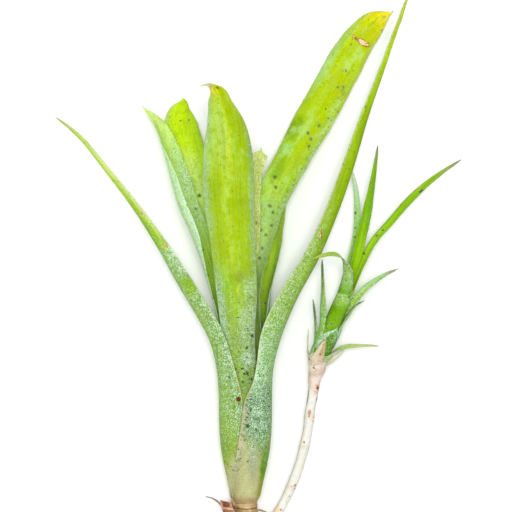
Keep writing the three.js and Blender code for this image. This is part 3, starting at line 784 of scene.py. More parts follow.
motherLeaf("leaf_front_broad", "leaf_bright", (2.8, -16, 92, (70, 62)), [
    [-1.1, 20.2, 17.4, 5.6, 50, 92], [-1.8, 28.2, 18.4, 6, 48, 92], [-2.2, 40, 22, 7.1, 46, 91],
    [-3.4, 57, 27, 7.6, 38, 90], [-4.7, 73, 30.6, 8.6, 36, 90], [-5, 85, 33, 8.4, 36, 90],
    [-5.6, 94.5, 35, 6.6, 34, 90], [-7.4, 101.6, 36.6, 4.1, 30, 90], [-8.4, 105.5, 37.7, 2.7, 26, 90],
    [-11.2, 108, 38.2, 0.6, 14, 90], [-14, 107.6, 38, 0.3, 10, 90],
], dict(
    seed=13, across=56, wave=0.05,
    back="0 #98a868, 0.2 #7c9c40, 0.34 #809c2c, 0.44 #90b01c, 0.52 #98b808, 0.6 #a0be04, 0.75 #a4c004, "
         "0.86 #a4c000, 0.93 #acc410, 0.95 #c0c418, 0.963 #d8c428, 0.972 #b0a478, 0.984 #e0c8c4, 1 #ecc0c4",
    face="0 #98a868, 0.5 #90b020, 1 #a8bc18",
    backScurf="0 0.25, 0.2 0.35, 0.34 0.45, 0.42 0.25, 0.5 0.1, 0.6 0.04, 0.9 0.03, 1 0",
    edgeScurf=0.6, edgeAmount=0.2, vein="#6c8c00", veinAmount=0.25, ribs=0.2, pale="#b4d868", paleAmount=0.5,
    patchy=0.4, mottle="#94b400", mottleAmount=0.7, spot="#2c3818",
    washes=onBack(
        band(0.5, 0.8, -0.1, 0.25, "#b0cc48", 0.7), band(0.57, 0.78, 0.36, 0.6, "#94b400", 0.85),
        band(0.54, 0.95, -0.68, -0.22, "#9cbc00", 0.85), band(0.6, 0.95, 0.72, 1.5, "#98c074", 0.9),
        band(0.5, 0.86, -1.5, -0.78, "#8cb060", 0.9), band(0.76, 0.94, 0, 1.5, "#accc54", 0.9),
        band(0.76, 0.94, -0.1, 0.04, "#c4d858", 0.8, 0.3), band(0.28, 0.5, 0.6, 1.5, "#78a460", 0.8),
        oval(-8.8, 75.5, 2, 1.6, 90, "#94b800", soft=0.8),
        oval(-4.6, 70.5, 1.6, 3, 8, "#98b800", 0.8, 0.8),
        oval(-0.7, 71.4, 1, 1, 0, "#98a018", 0.6, 0.6),
        oval(-1.9, 47.4, 1.5, 1.4, 0, "#8c9840", 0.7, 0.7),
        oval(-4.8, 45, 1.4, 1.8, 60, "#84b400", soft=0.7),
        oval(-1.9, 43.2, 0.7, 1.7, 100, "#ccd800", 0.7, 0.9),
        oval(1.8, 40.6, 0.6, 4, 38, "#708c10", 0.8, 0.7), oval(-2.4, 36, 1, 4, 92, "#90b808", 0.7, 0.8),
    ),
    dustings=onBack(
        band(0.6, 0.95, 0.78, 1.5, amount=0.34), band(0.5, 0.74, -1.5, -0.8, amount=0.4),
        band(0.74, 0.86, -1.5, -0.86, amount=0.25), band(0.3, 0.5, 0.6, 1.5, amount=0.5),
        oval(1.8, 44, 1.8, 1.6, 90, amount=0.5, soft=0.8), oval(1.4, 33, 2.6, 2.2, 80, amount=0.55, soft=0.8),
        oval(1, 21.5, 1.4, 2, 90, amount=0.7, soft=0.8),
    ),
    brownMarks=[(-8.3, 107.1, 0.2, 2.4, -50)],
    darkMarks=[
        (2.6, 28.7, 0.55), (1, 24.9, 0.5), (-0.5, 18.3, 0.45), (0.1, 16.6, 0.4), (1, 16.9, 0.5),
        (1.4, 15.8, 0.4), (2.4, 14.9, 0.5), (-0.4, 13.9, 0.4), (1.6, 13.4, 0.3), (0.3, 20.6, 0.3),
        (-1.8, 34.6, 0.25, 2),
    ],
    spots=[
        spray(34, 0.22, 0.36, 0.1, 0.3, -0.9, 0.4), spray(26, 0.34, 0.52, 0.08, 0.2),
        spray(6, 0.5, 0.8, 0.06, 0.12),
    ],
))

motherLeaf("leaf_left_channelled", "leaf_scurfy", (3.8, -12.5, 205, (60, 50)), [
    [-7, 22, 10, 4.2, 38, 200], [-9, 37, 11.3, 4, 35, 196], [-11.4, 45.5, 12, 4.2, 37, 196],
    [-13.3, 52, 12.2, 5.6, 50, 196], [-16.2, 60, 12.2, 7.6, 68, 197], [-20.6, 70, 11.8, 8, 74, 198],
    [-23.3, 80, 11, 7.3, 70, 202], [-25.3, 89, 9.8, 4.9, 56, 215], [-27.6, 95.6, 9, 3.1, 46, 222],
    [-32.6, 102, 9, 0.35, 10, 224],
], dict(
    seed=14, toothSpacing=1.1, toothLength=0.34,
    back="0 #c4e0b0, 0.4 #c4e8b4, 0.8 #c8f0a4, 1 #d0f0a0",
    face="0 #98b838, 0.3 #a4cc38, 0.55 #acd840, 0.7 #b4e050, 0.85 #c4e870, 1 #d0e880",
    backScurf="0 0.4, 0.5 0.55, 0.9 0.35, 1 0.2",
    faceScurf="0 0.1, 0.6 0.1, 1 0.1",
    bands=0.9, edgeShade=0, scurf="#dcf8dc", veil="#b8e4b4", edgeAmount=0.3, tooth="#38481c",
    dustings=onFace(band(0.62, 0.86, 0.4, 1.5, amount=0.4), band(0.3, 0.62, -0.2, 1.5, amount=0.05)),
    washes=onFace(
        band(0.45, 0.86, -0.4, -0.05, "#94c420", 0.6, 0.6), band(0.6, 0.86, 0.45, 1.5, "#a4cc74", 0.6),
    ),
    darkMarks=[
        (-15.3, 66.5, 0.3), (-13, 56, 0.25), (-11.4, 48, 0.25), (-9.9, 40.7, 0.25),
        (-15.4, 69.2, 0.25, 2.4, 120), (-17, 82.2, 0.3, 1.6, 110),
    ],
    brownMarks=[(-14.3, 65.2, 0.25, 1.8, 10)],
    spots=[spray(12, 0.4, 0.95, 0.1, 0.25)],
))

motherLeaf("leaf_right_back", "leaf_dark", (3.8, -12.5, -22, (62, 50)), [
    [6.8, 22, 8.6, 5.2, 48, -24], [7.4, 34.6, 8.4, 6.2, 60, -28], [7.2, 43.8, 7.6, 6.2, 62, -45],
    [8.2, 52.8, 6, 5.6, 56, -62], [9, 63.4, 3.6, 5, 50, -75], [10.4, 72, 2.2, 3.4, 38, -82],
    [13.4, 80, 1.4, 0.35, 10, -85],
], dict(
    seed=15,
    back="0 #90a860, 0.5 #a0c878, 1 #88b040",
    # painted shade: the face is dark green from the foot to near its middle, where this leaf lies in shade
    # under the leaves in front
    face="0 #40701c, 0.45 #50801c, 0.54 #90b41c, 0.72 #b0d434, 1 #b0d434",
    backScurf="0 0.5, 0.5 0.8, 1 0.4",
    faceScurf="0 0.12, 1 0.06",
    tooth="#e0e8b0", edgeAmount=0.12,
    darkMarks=[(6.1, 42.9, 0.3), (6.7, 39.1, 0.3)],
))

motherLeaf("leaf_right_broad", "leaf_bright", (4.8, -10, -35, (52, 50)), [
    [4.4, 24, 9.4, 3.9, 40, -42], [2.6, 44.8, 9.2, 5.2, 56, -62], [5.6, 59.2, 7.4, 5.8, 58, -70],
    [9.4, 72, 5.6, 6.2, 54, -76], [13.9, 81.3, 4.4, 6.2, 50, -78], [17.5, 88, 3.4, 6.4, 48, -80],
    [22.7, 97.3, 2, 6.8, 46, -80], [29.4, 109.6, 0.6, 6.6, 44, -80], [34.4, 118.7, 0.12, 6.3, 44, -80],
    [38.6, 124.8, 0.6, 5.4, 42, -80], [43, 129.4, 1.4, 3.6, 34, -80], [47.7, 132.3, 2.2, 0.35, 10, -80],
], dict(
    seed=16, floor=0,
    back="0 #90a850, 0.6 #a0bc38, 1 #a8c028",
    face="0 #7c9c34, 0.35 #9cbc38, 0.48 #bce064, 0.58 #acd030, 0.75 #acc818, 0.9 #b8cc14, 0.945 #c8cc18, "
         "0.965 #e0d020, 1 #f4d820",
    backScurf="0 0.3, 1 0.3",
    faceScurf="0 0.15, 0.45 0.08, 0.7 0.03, 1 0",
    edgeScurf=0.6, edgeAmount=0.15, vein="#84a000", veinAmount=0.15, ribs=0.12, pale="#b8dc78",
    paleAmount=0.6, patchy=1, mottle="#98bc00", mottleAmount=0.6, spot="#4c6428", spotSoft=0.32,
    washes=onFace(
        band(0.77, 0.93, -1.5, -0.62, "#b4dc90", 0.85), band(0.55, 0.95, 0.62, 1.5, "#b8d058", 0.5),
        band(0.62, 0.96, -0.2, 0.3, "#a8c000", 0.6), oval(16.2, 95, 2.2, 1.8, 60, "#80a800"),
        oval(13.2, 88, 1.6, 1.9, 30, "#a4dc90", 0.75, 0.7), oval(11, 82, 1.6, 3, 62, "#88b408", 0.8),
        oval(7.2, 68, 2.6, 1.8, 75, "#a0c868", 0.8),
    ),
    dustings=onFace(
        band(0.3, 0.56, 0.6, 1.5, amount=0.42), band(0.56, 0.7, 0.8, 1.5, amount=0.35),
        band(0.28, 0.5, -1.5, 1.5, amount=0.3, soft=0.8),
    ),
    spots=onFace(spray(34, 0.5, 0.8, 0.1, 0.32, 0.5, 0.97), spray(16, 0.5, 0.95, 0.06, 0.16, -0.6, 0.8)),
    darkMarks=[
        (44.9, 130.5, 0.27), (45.7, 128, 0.27), (44.1, 126.1, 0.27), (32.6, 113.3, 0.41), (30.1, 108.1, 0.41),
        (31.7, 108.1, 0.34), (24, 95.6, 0.47), (20.5, 93.4, 0.47), (21.4, 91.5, 0.47), (20.8, 89.2, 0.47),
        (9.9, 79.3, 0.61), (10.2, 76.1, 0.54), (4.8, 70.2, 0.54), (8.3, 70, 0.54), (9.3, 68, 0.47),
        (12.5, 67.6, 0.47), (4.8, 64, 0.54), (8.8, 63.8, 0.47), (5.4, 62.4, 0.47), (7, 60.8, 0.47),
        (5.8, 56.6, 0.47), (5, 53.4, 0.47),
    ],
    brownMarks=[(26.2, 101.1, 0.3), (47.6, 132.2, 0.25)],
    scars=[(38, 122.4, 0.75, 2.6, -32), (35.4, 123.9, 0.3, 4, -34), (34.2, 121.9, 0.2)],
))

motherLeaf("leaf_left_back", "leaf_bright", (4.8, -10, 222, (46, 44)), [
    [-2.9, 24, 9.1, 2.7, 30, 236], [-4.2, 38, 7.5, 2.5, 24, 250], [-5.9, 45, 6.4, 2.6, 22, 253],
    [-8.2, 52, 5.4, 3.5, 26, 256], [-11.8, 64, 4, 4.4, 28, 258], [-14.6, 75, 2.7, 4.9, 27, 260],
    [-16.8, 84, 1.6, 5.3, 26, 262], [-19.1, 91.5, 0.6, 5.6, 26, 264], [-20.5, 97.2, 0.06, 5.3, 26, 264],
    [-20.1, 101.2, 0.5, 3.3, 20, 264], [-19.45, 103.1, 0.9, 1.5, 14, 264], [-19.3, 104.7, 1.2, 0.3, 10, 264],
], dict(
    seed=17, floor=0, tipLength=1,
    back="0 #a0b860, 1 #b0cc40",
    face="0 #8cb020, 0.5 #a8cc30, 0.72 #c4e860, 0.82 #c4e848, 0.87 #bce000, 1 #c0e000",
    backScurf="0 0.4, 1 0.4",
    faceScurf="0 0.1, 0.7 0.08, 0.88 0.03, 1 0",
    edgeScurf=0.6, edgeAmount=0.25, ribs=0.12, veinAmount=0.12, spot="#347400",
    washes=onFace(
        band(0.86, 0.98, -1.5, -0.7, "#c0dc90", 0.8), band(0.84, 0.98, 0.3, 1.5, "#a4cc00", 0.7, 0.7),
        band(0.7, 0.86, -0.4, 0.3, "#d4ec88", 0.7, 0.9),
    ),
    dustings=onFace(band(0.55, 0.72, 0.2, 1.5, amount=0.5), band(0.55, 0.88, -1.5, -0.6, amount=0.5)),
    darkMarks=[(-17.6, 97.6, 0.3), (-14.2, 73.4, 0.6)],
    scars=[(-20.3, 97.2, 0.2), (-23.7, 98.5, 0.15)],
))

motherLeaf("leaf_heart", "leaf_pale", (5.8, -7, 268, (56, 46)), [
    [0.4, 24, 10.4, 2.4, 40, 268], [1.2, 45, 12, 2.4, 38, 268], [2.8, 62, 13.4, 2.6, 38, 268],
    [3.9, 76, 14.4, 1.8, 38, 270], [4.4, 82.4, 14.8, 2.1, 34, 270], [4.9, 85.4, 15, 2.5, 30, 270],
    [5, 86.3, 15, 2.6, 30, 270], [5.1, 86.8, 15, 1.5, 26, 270], [5.3, 87.5, 15, 0.5, 20, 270],
    [5.5, 88.6, 15, 0.12, 10, 270],
], dict(
    seed=18, tipLength=0.6,
    back="0 #b8c070, 1 #ccd070",
    face="0 #b0bc4c, 0.6 #c0d44c, 0.85 #ccdc60, 1 #d8e080",
    backScurf="0 0.3, 1 0.3",
    faceScurf="0 0.2, 0.8 0.45, 1 0.6",
    scurf="#ecf0b0", veil="#c4d07c", fleck="#88a43c", grime=0.34, ribs=0.1, veinAmount=0.1, edgeAmount=0.2,
    washes=[oval(3.9, 64.6, 0.9, 1, 0, "#a08030", 0.6, 0.7)],
    brownMarks=[(3.9, 64.6, 0.25, 1.6, 60)],
))
print("mother leaves made")


# Pup leaves. A sheath's rows are [height, radius, turn, wrap].

pupForm = dict(
    thickness=0.45, stepAlong=0.4, across=24, tipLength=2, toothLength=0.2, toothSpacing=1.5, wave=0.08,
    footHug=0.3,
)


def pupLeaf(name, slot, sheath, blade, traits):
    rows = [pup.sheathRow(*row) for row in sheath] + [bladeRow(*row) for row in blade]
    dressLeaf(name, slot, pup, rows, {**pupForm, **traits})


silvery = dict(
    back="0 #6c9448, 0.5 #74a058, 0.9 #80a870, 1 #8c9480",
    face="0 #689430, 0.5 #70a048, 0.92 #7ca468, 1 #808878",
    backScurf="0 0.45, 0.6 0.4, 0.82 0.1, 1 0",
    faceScurf="0 0.35, 0.65 0.3, 0.85 0.1, 1 0",
    scurf="#d0ecc0", veil="#88b870", vein="#4c8020", bump=0.4,
)
green = dict(
    back="0 #90a850, 0.15 #70a008, 0.6 #74a408, 0.93 #80a438, 1 #889068",
    face="0 #6c9c18, 0.5 #689c08, 0.9 #74a418, 1 #909070",
    backScurf="0 0.12, 0.12 0.03, 1 0.03",
    faceScurf="0 0.02, 1 0",
    vein="#4c7c00", pale="#a0c838", edgeAmount=0.2,
)

pupLeaf("pup_leaf_upright", "pup_green", [[14.5, 1.7, 150, 68], [20, 1.75, 158, 64]], [
    [32.8, 46, 8.4, 1.9, 56, 200], [35.2, 52.6, 8.4, 2, 52, 236], [37, 59.5, 8.6, 2, 50, 246],
    [38.8, 66.9, 8.8, 1.8, 46, 250], [40.7, 76.5, 9.2, 1.1, 34, 252], [42.7, 89.4, 9.4, 0.32, 10, 252],
], dict(
    green, seed=21,
    face="0 #88b800, 0.4 #90c400, 0.5 #88bc00, 0.62 #78b000, 0.86 #74a410, 0.92 #7c8860, 1 #605468",
    faceScurf="0 0, 1 0",
    washes=onFace(band(0.52, 0.97, 0.15, 1.5, "#5c9800", 0.8, 0.9)),
))

pupLeaf("pup_leaf_right_long", "pup_green", [
    [6.5, 2.6, 50, 150], [13, 2.75, 52, 148], [18.6, 2.65, 50, 144], [21.4, 2.6, 44, 134],
    [23.6, 2.55, -30, 78],
], [
    [35.4, 44.4, 7.8, 2.3, 56, -30], [37.6, 50.4, 7.6, 1.9, 50, -40], [42, 59, 7.8, 1.7, 46, -50],
    [46.6, 64.3, 8, 1.6, 44, -55], [52.6, 71.3, 8.5, 1.5, 42, -60], [57.9, 76.5, 9, 1.2, 36, -60],
    [64, 81.3, 9.6, 0.7, 22, -60], [69.3, 84.8, 10, 0.32, 10, -60],
], dict(
    green, seed=22, across=44,
    back="0 #88a840, 0.1 #70a008, 0.3 #78ac00, 0.6 #80b008, 0.93 #80a438, 1 #687060",
    face="0 #6c9c18, 0.3 #90bc00, 0.55 #8cbc00, 0.85 #80b010, 0.96 #8c9468, 1 #706c70",
    edge="#c8dca0", edgeAmount=0.3, edgeWidth=0.3, spotSoft=0.12, spot="#2c3818",
    washes=onFace(
        # painted highlight: the first band is a bright yellow-green line along the floor of the channel as
        # seen from above
        band(0.3, 0.85, -0.72, -0.46, "#b4dc30", 0.8, 0.4), band(0.52, 0.9, -1.5, -0.8, "#609400", 0.7, 0.4),
        band(0.3, 0.6, 0.1, 0.7, "#94c400", 0.7),
    ) + [
        band(0.24, 0.42, -2, 2, "#a0c808", 0.8, 0.9),
    ] + onBack(
        band(0.02, 0.19, 0.44, 1.5, "#4c8800", 0.8, 0.6), band(0, 0.13, -0.5, 1.5, "#609800", 0.5, 1),
        band(0.175, 0.24, -0.6, 1.5, "#9cc060", 0.8, 0.2),
    ),
    dustings=onBack(band(0.175, 0.24, -0.6, 1.5, amount=0.28, soft=0.3)),
    darkMarks=[
        (56.5, 74.8, 0.3, 2.2, 44), (44.3, 62.4, 0.3), (42.3, 60.6, 0.3), (38.3, 54.9, 0.35),
        (27.8, 32.4, 0.3),
    ],
    spots=[spray(12, 0.1, 0.5, 0.06, 0.14)],
))

pupLeaf("pup_leaf_back", "pup_silver", [[16, 2.9, 234, 28], [20, 2.9, 236, 28]], [
    [32.6, 47.6, 5.6, 1.6, 36, 250], [34.6, 54, 5.2, 1.6, 42, 258], [35.8, 60.8, 5, 1.3, 42, 266],
    [36.2, 68.2, 5, 1.1, 40, 270], [35.8, 74.9, 5, 0.8, 32, 270], [34.6, 81.3, 5, 0.32, 10, 270],
], dict(
    silvery, seed=23,
    face="0 #84a848, 0.5 #88bc3c, 0.75 #98d07c, 0.9 #b8dcb4, 1 #d8ecd8",
    faceScurf="0 0.25, 0.5 0.3, 1 0.4",
    spot="#283020",
    darkMarks=[(35.6, 67.8, 0.3, 1.6, 90), (35.5, 63.1, 0.25), (35.4, 60.1, 0.25)],
))

pupLeaf("pup_leaf_arched", "pup_silver", [[15.5, 2, 100, 56], [20, 2.1, 96, 70], [24.4, 2.35, 96, 72]], [
    [32.9, 48.2, 11.4, 2.1, 60, 108], [32.1, 51.4, 13.4, 1.4, 46, 140], [31, 53.2, 14.6, 0.95, 38, 180],
    [28.8, 54.6, 16, 0.8, 32, 240], [25.2, 54.3, 17.4, 0.6, 26, 265], [21.8, 53.2, 17.8, 0.32, 10, 270],
], dict(
    silvery, seed=24,
    back="0 #589410, 0.26 #5ca008, 0.36 #80ac4c, 0.6 #88ac54, 1 #90b440",
    face="0 #7ca850, 0.7 #90b440, 1 #b0c440",
    edgeAmount=0.3,
    dustings=onBack(band(0, 0.31, amount=0.04)),
    spots=[spray(14, 0.25, 0.7, 0.08, 0.2)],
))

pupLeaf("pup_leaf_right_middle", "pup_silver", [[8, 3, -14, 36], [12, 3.1, -16, 38]], [
    [33, 35.2, 7.6, 1.5, 42, -54], [35.3, 39.4, 8.2, 1.5, 46, -66], [38.3, 43.2, 8.8, 1.3, 44, -72],
    [41.6, 45.9, 9.2, 0.95, 40, -74], [45, 48.1, 9.5, 0.65, 30, -76], [49.4, 50.1, 9.6, 0.25, 10, -76],
], dict(
    silvery, seed=25,
    face="0 #6c9430, 0.3 #88b048, 0.6 #a0c430, 0.8 #90b868, 0.88 #a89c88, 0.95 #8c7c70, 1 #a09080",
    edge="#c8e0b8",
    washes=onFace(band(0.5, 0.86, -1.5, 0.1, "#94c884", 0.9)),
))

pupLeaf("pup_leaf_right_small", "pup_green", [[3.6, 3.3, -6, 40], [8.5, 3.6, -4, 38]], [
    [33, 34.6, 8.6, 1.2, 34, -10], [35.5, 37.9, 9, 0.8, 26, -16], [38.5, 39.8, 9.2, 0.32, 10, -20],
], dict(
    silvery, seed=26,
    back="0 #4c8438, 0.45 #609840, 0.7 #606c58, 0.85 #484c4c, 1 #404048",
    face="0 #609030, 0.6 #709840, 0.8 #505850, 1 #404048",
    edge="#b8d0b0",
))

pupLeaf("pup_leaf_left_upright", "pup_silver", [[3, 3.2, 152, 36], [6.5, 3.4, 156, 38]], [
    [24.3, 31, 9.8, 1.5, 42, 138], [25, 37, 10, 1.4, 40, 122], [25.1, 43.2, 10, 0.8, 34, 118],
    [25, 48, 10, 0.5, 24, 118], [24.9, 53, 9.8, 0.3, 10, 118],
], dict(
    silvery, seed=27,
    back="0 #70a028, 0.45 #78a850, 0.75 #5c7850, 0.88 #404848, 1 #404448",
    washes=[band(0.5, 1, -0.2, 0.4, "#4c7030", 0.5)],
))

pupLeaf("pup_leaf_left_small", "pup_silver", [[0.5, 3.15, 176, 42], [5, 3.3, 172, 40]], [
    [22.6, 30.2, 7.6, 1.4, 40, 160], [22.4, 35, 7.8, 0.9, 30, 155], [21.9, 40.3, 7.8, 0.32, 10, 155],
], dict(
    silvery, seed=28,
    back="0 #4c8828, 0.45 #609848, 0.7 #5c6c5c, 0.85 #404048, 1 #404048",
))

pupLeaf("pup_leaf_front_sheath", "pup_silver", [[0.5, 3.3, 78, 52], [6, 4, 80, 52]], [
    [28.3, 28.6, 12.6, 2.2, 36, 82], [29.8, 31.2, 12.9, 0.35, 10, 84],
], dict(
    silvery, seed=29, toothLength=0,
    back="0 #98a058, 0.2 #448008, 0.6 #487c20, 1 #68a070",
    backScurf="0 0.08, 0.3 0.1, 1 0.4",
    edge="#d0e8d8", edgeWidth=0.35, edgeAmount=0.7,
    washes=[band(0.3, 1, 0.45, 1.5, "#88b898", 0.9), band(0.2, 0.9, -1.5, -0.6, "#405c50", 0.6)],
    dustings=[band(0.3, 1, 0.45, 1.5, amount=0.7)],
))

pupLeaf("pup_leaf_right_low", "pup_pale", [[0.2, 3.3, 0, 56], [2, 3.95, 8, 58]], [
    [28.1, 22.5, 8.9, 1.7, 46, -4], [29.7, 23.8, 8.1, 1.15, 38, -32], [31.4, 24.7, 7, 0.9, 34, -58],
    [33.2, 25.2, 6.4, 0.8, 30, -70], [36, 25.4, 6.4, 0.55, 24, -75], [39.7, 25.5, 6.4, 0.4, 16, -75],
    [43.2, 25.3, 6.2, 0.3, 10, -75],
], dict(
    silvery, seed=30,
    back="0 #a8b478, 0.3 #8cac48, 1 #888878",
    face="0 #c8c89c, 0.35 #a0b048, 0.6 #a8bc48, 0.8 #b4bc60, 0.9 #a8a868, 1 #848474",
    edge="#c8dcb8",
    washes=[band(0.05, 0.5, -1.5, -0.5, "#ccdcac", 0.8)],
))

dryLook = dict(
    back="0 #c89c74, 1 #b48458",
    face="0 #a87850, 1 #905c3c",
    vein="#8c5c38", pale="#dcbc98", mottle="#8c5834", mottleAmount=0.5, scurf="#e8d8c0", veil="#c8b090",
    edge="#8c5430", fleck="#5c2c14", flecks=0.8, bump=0.8,
)
pupLeaf("pup_bract_tan", "dry_scale", [[-2.2, 3, 80, 42], [0.5, 3.95, 88, 34]], [
    [24.9, 25, 13, 1.1, 24, 92], [26.2, 27.8, 13.9, 0.35, 10, 92],
], dict(
    dryLook, seed=31, toothLength=0, thickness=0.3,
    back="0 #d8c8b8, 0.3 #d8c4a4, 0.7 #d0b88c, 1 #b09468",
    face="0 #d8c8b8, 0.7 #d0b88c, 1 #b09468",
    mottle="#b8946c", mottleAmount=0.3, veinAmount=0.2, edge="#a88860", flecks=0.6,
    washes=[band(0.2, 0.95, 0.2, 1.5, "#dcd4bc", 0.8), band(0.4, 0.95, -0.5, 0, "#a08858", 0.5)],
    brownMarks=[
        (24.3, 22.8, 0.26), (25, 24.4, 0.16), (24.8, 21.2, 0.18), (25.6, 22.6, 0.14), (25.3, 25.9, 0.16),
        (23.1, 21.3, 0.12),
    ],
))

paleLook = dict(
    dryLook,
    back="0 #e8e4d4, 0.6 #e4e0c8, 1 #c8c4a8",
    face="0 #e8e4d4, 1 #dcdcc0",
    vein="#d0c8a0", mottle="#d8c8a0", veil="#e8e4d0", scurf="#f4f0e0", pale="#f4ecd0", edge="#a09880",
    edgeAmount=0.7, fleck="#a89068", flecks=0.2,
)
pupLeaf("pup_bract_pale", "pup_pale", [], [
    [25.2, 18.5, 6, 0.8, 24, -45], [27.6, 20.4, 5.2, 1, 28, -55], [30, 22.3, 4.8, 0.7, 26, -65],
    [32.2, 24.4, 4.6, 0.3, 10, -70],
], dict(
    paleLook, seed=32, toothLength=0, thickness=0.3,
))

pupLeaf("pup_bract_thread", "pup_pale", [[-1, 3.05, 205, 12]], [
    [20.2, 25.6, 6.6, 0.4, 14, 195], [20.5, 31, 6.8, 0.32, 10, 190],
], dict(
    paleLook, seed=33, toothLength=0, thickness=0.3, across=10,
))
print("pup leaves made")


# Stem, roots, runner and the torn scale

def tubeRings(rows, steps, around, swell):
    # profile carried along a path: point = course + radius * (1 + swell(s, angle)) * direction at angle
    rows = np.array(rows, float)
    stops = distancesAlong(rows)
    s = np.linspace(0, stops[-1], steps)
    row = cubicThrough(stops, rows, s)
    side, up = crossFrame(unit(np.gradient(row[:, :3], s, axis=0)))
    angle = np.linspace(0, 2 * np.pi, around, endpoint=False)
    rays = turned(side[:, None, :], up[:, None, :], np.broadcast_to(angle, (steps, around)))
    radius = row[:, 3:4] * (1 + swell(s[:, None], angle[None, :]))
    points = row[:, None, :3] + radius[..., None] * rays
    place = np.stack([np.broadcast_to(angle[None, :], (steps, around)),
                      np.broadcast_to(s[:, None], (steps, around)), radius], axis=-1)
    return points.reshape(-1, 3), place.reshape(-1, 3)


def tubeFaces(rings, around):
    # the tube's sides, with one face at each end
    ends = [list(range(around)), list(range(rings * around - 1, (rings - 1) * around - 1, -1))]
    return gridFaces(rings, around).tolist() + ends


def tubesPiece(name, tubes, rustMarks=(), darkMarks=()):
    # several closed tubes in one mesh, with each point's reach to two kinds of marks seen from above
    points, places, faces, count = [], [], [], 0
    for rows, steps, around, swell in tubes:
        ring, place = tubeRings(rows, steps, around, swell)
        faces += [[corner + count for corner in face] for face in tubeFaces(steps, around)]
        points.append(ring)
        places.append(place)
        count += len(ring)
    points = np.concatenate(points)
    reaches = [markReach(points, rustMarks), markReach(points, darkMarks), np.zeros(len(points))]
    reaches = np.stack(reaches, axis=1)
    return writeMesh(name, points, faces, {"tubePlace": np.concatenate(places), "tubeMarks": reaches})


stemForm = {
    "profile": [[-36, 2.6], [-34, 3.9], [-29, 4.2], [-25, 4.1], [-23.6, 4], [-22.4, 3.1], [-16, 2.95],
                [-12.5, 2.75], [-10, 2.25], [-7, 1.8], [0, 1.5], [6, 1.1]],
    "ringSpacing": 1.7,
    "ringDepth": 0.045,
    "roughDepth": 0.03,
    "steps": 260,
    "around": 72,
}
rootForm = {"radius": 0.4, "taper": 0.08, "steps": 60, "around": 10}  # taper is what each route point loses
rootRoutes = [
    [[-2.5, -30, 4.5], [-6.5, -26.2, 4.2], [-9.5, -23.6, 4.6], [-12.2, -22.7, 5.2]],
    [[-2.5, -31, 4.8], [-6, -27.5, 3.6], [-8, -24.8, 3.2], [-9.6, -23.7, 3.4]],
    [[2.5, -29.5, 6.5], [4.8, -27, 6.8], [6.8, -27.6, 6.6], [8.1, -28.2, 6.2]],
    [[-1, -34, 4.5], [-3, -38, 3.2], [-4.2, -41, 2.4], [-6.8, -43.6, 2]],
    [[0.5, -34, 4.2], [0.8, -38.4, 2.6], [2.2, -41.6, 1.8], [2.6, -45, 1.6]],
]


def stemSwell(s, angle):
    # leaf scars: sharp rings of the sine of height, which drift round the stem, and low lumps
    drift = 0.25 * np.sin(2 * angle + 1) + 0.12 * np.sin(5 * angle)
    ring = np.sin(2 * np.pi * s / stemForm["ringSpacing"] + drift)
    lumps = np.sin(3 * angle + s * 0.9) * np.sin(7 * angle - s * 1.7)
    return stemForm["ringDepth"] * np.clip(ring, -0.3, 1) ** 3 + stemForm["roughDepth"] * lumps


def rootSwell(s, angle):
    # low waves along the root, turned round it
    return 0.12 * np.sin(s * 3.1 + angle) + 0.08 * np.sin(s * 7.3)


stemRows = [[*mother.at(height), radius] for height, radius in stemForm["profile"]]
stemTubes = [(stemRows, stemForm["steps"], stemForm["around"], stemSwell)]
for route in rootRoutes:
    tapered = [[*point, rootForm["radius"] - rootForm["taper"] * i] for i, point in enumerate(route)]
    stemTubes.append((tapered, rootForm["steps"], rootForm["around"], rootSwell))
stem = tubesPiece("stem_bark_rings", stemTubes)


barkLook = {
    "tones": "0.3 #94744c, 0.45 #b49868, 0.58 #c8ac80, 0.7 #d8c4a0",
    "ring": "#785438",
    "seam": "#604028",
    "seamPlace": 9.7,  # distance along the stem of its darkest scar
    "grain": "#e4d4b0",
    "root": "#8c8078",
    "bump": 0.7,
    "bumpDepth": 0.25,
    "specular": leafLook["specular"],
}


def barkMaterial():
    bench = Bench("stem_bark_skin")
    angle, along, radius = bench.attribute("tubePlace")
    place = bench.node("ShaderNodeTexCoord", out="Object")
    grain = bench.node("ShaderNodeTexNoise", {"Vector": place, "Scale": 900.0, "Detail": 3.0}, out="Fac")
    patch = bench.node("ShaderNodeTexNoise", {"Vector": place, "Scale": 220.0, "Detail": 2.0}, out="Fac")
    fibre = bench.noise(angle * 9.0, along * 0.5, 2.0, 3.0)
    ring = bench.noise(angle * 0.8, along * 3.0, 7.0)
    bench.colour = bench.ramp(patch, barkLook["tones"])
    bench.paint(bench.rise(ring, 0.55, 0.68) * 0.5, barkLook["ring"])
    seam = abs(along - barkLook["seamPlace"] + (patch - 0.5) * 1.2 + (fibre - 0.5) * 0.8)
    bench.paint(bench.fall(seam, 0.08, 0.4) * 0.8, barkLook["seam"])
    bench.paint(bench.rise(grain, 0.58, 0.7) * 0.35, barkLook["grain"])
    bench.paint(bench.fall(radius, 0.5, 0.9) * 0.8, barkLook["root"])
    return bench.finish(0.75, fibre * 0.5 + grain * 0.5, barkLook)


settle(stem, "stem_bark", barkMaterial(), "stem")

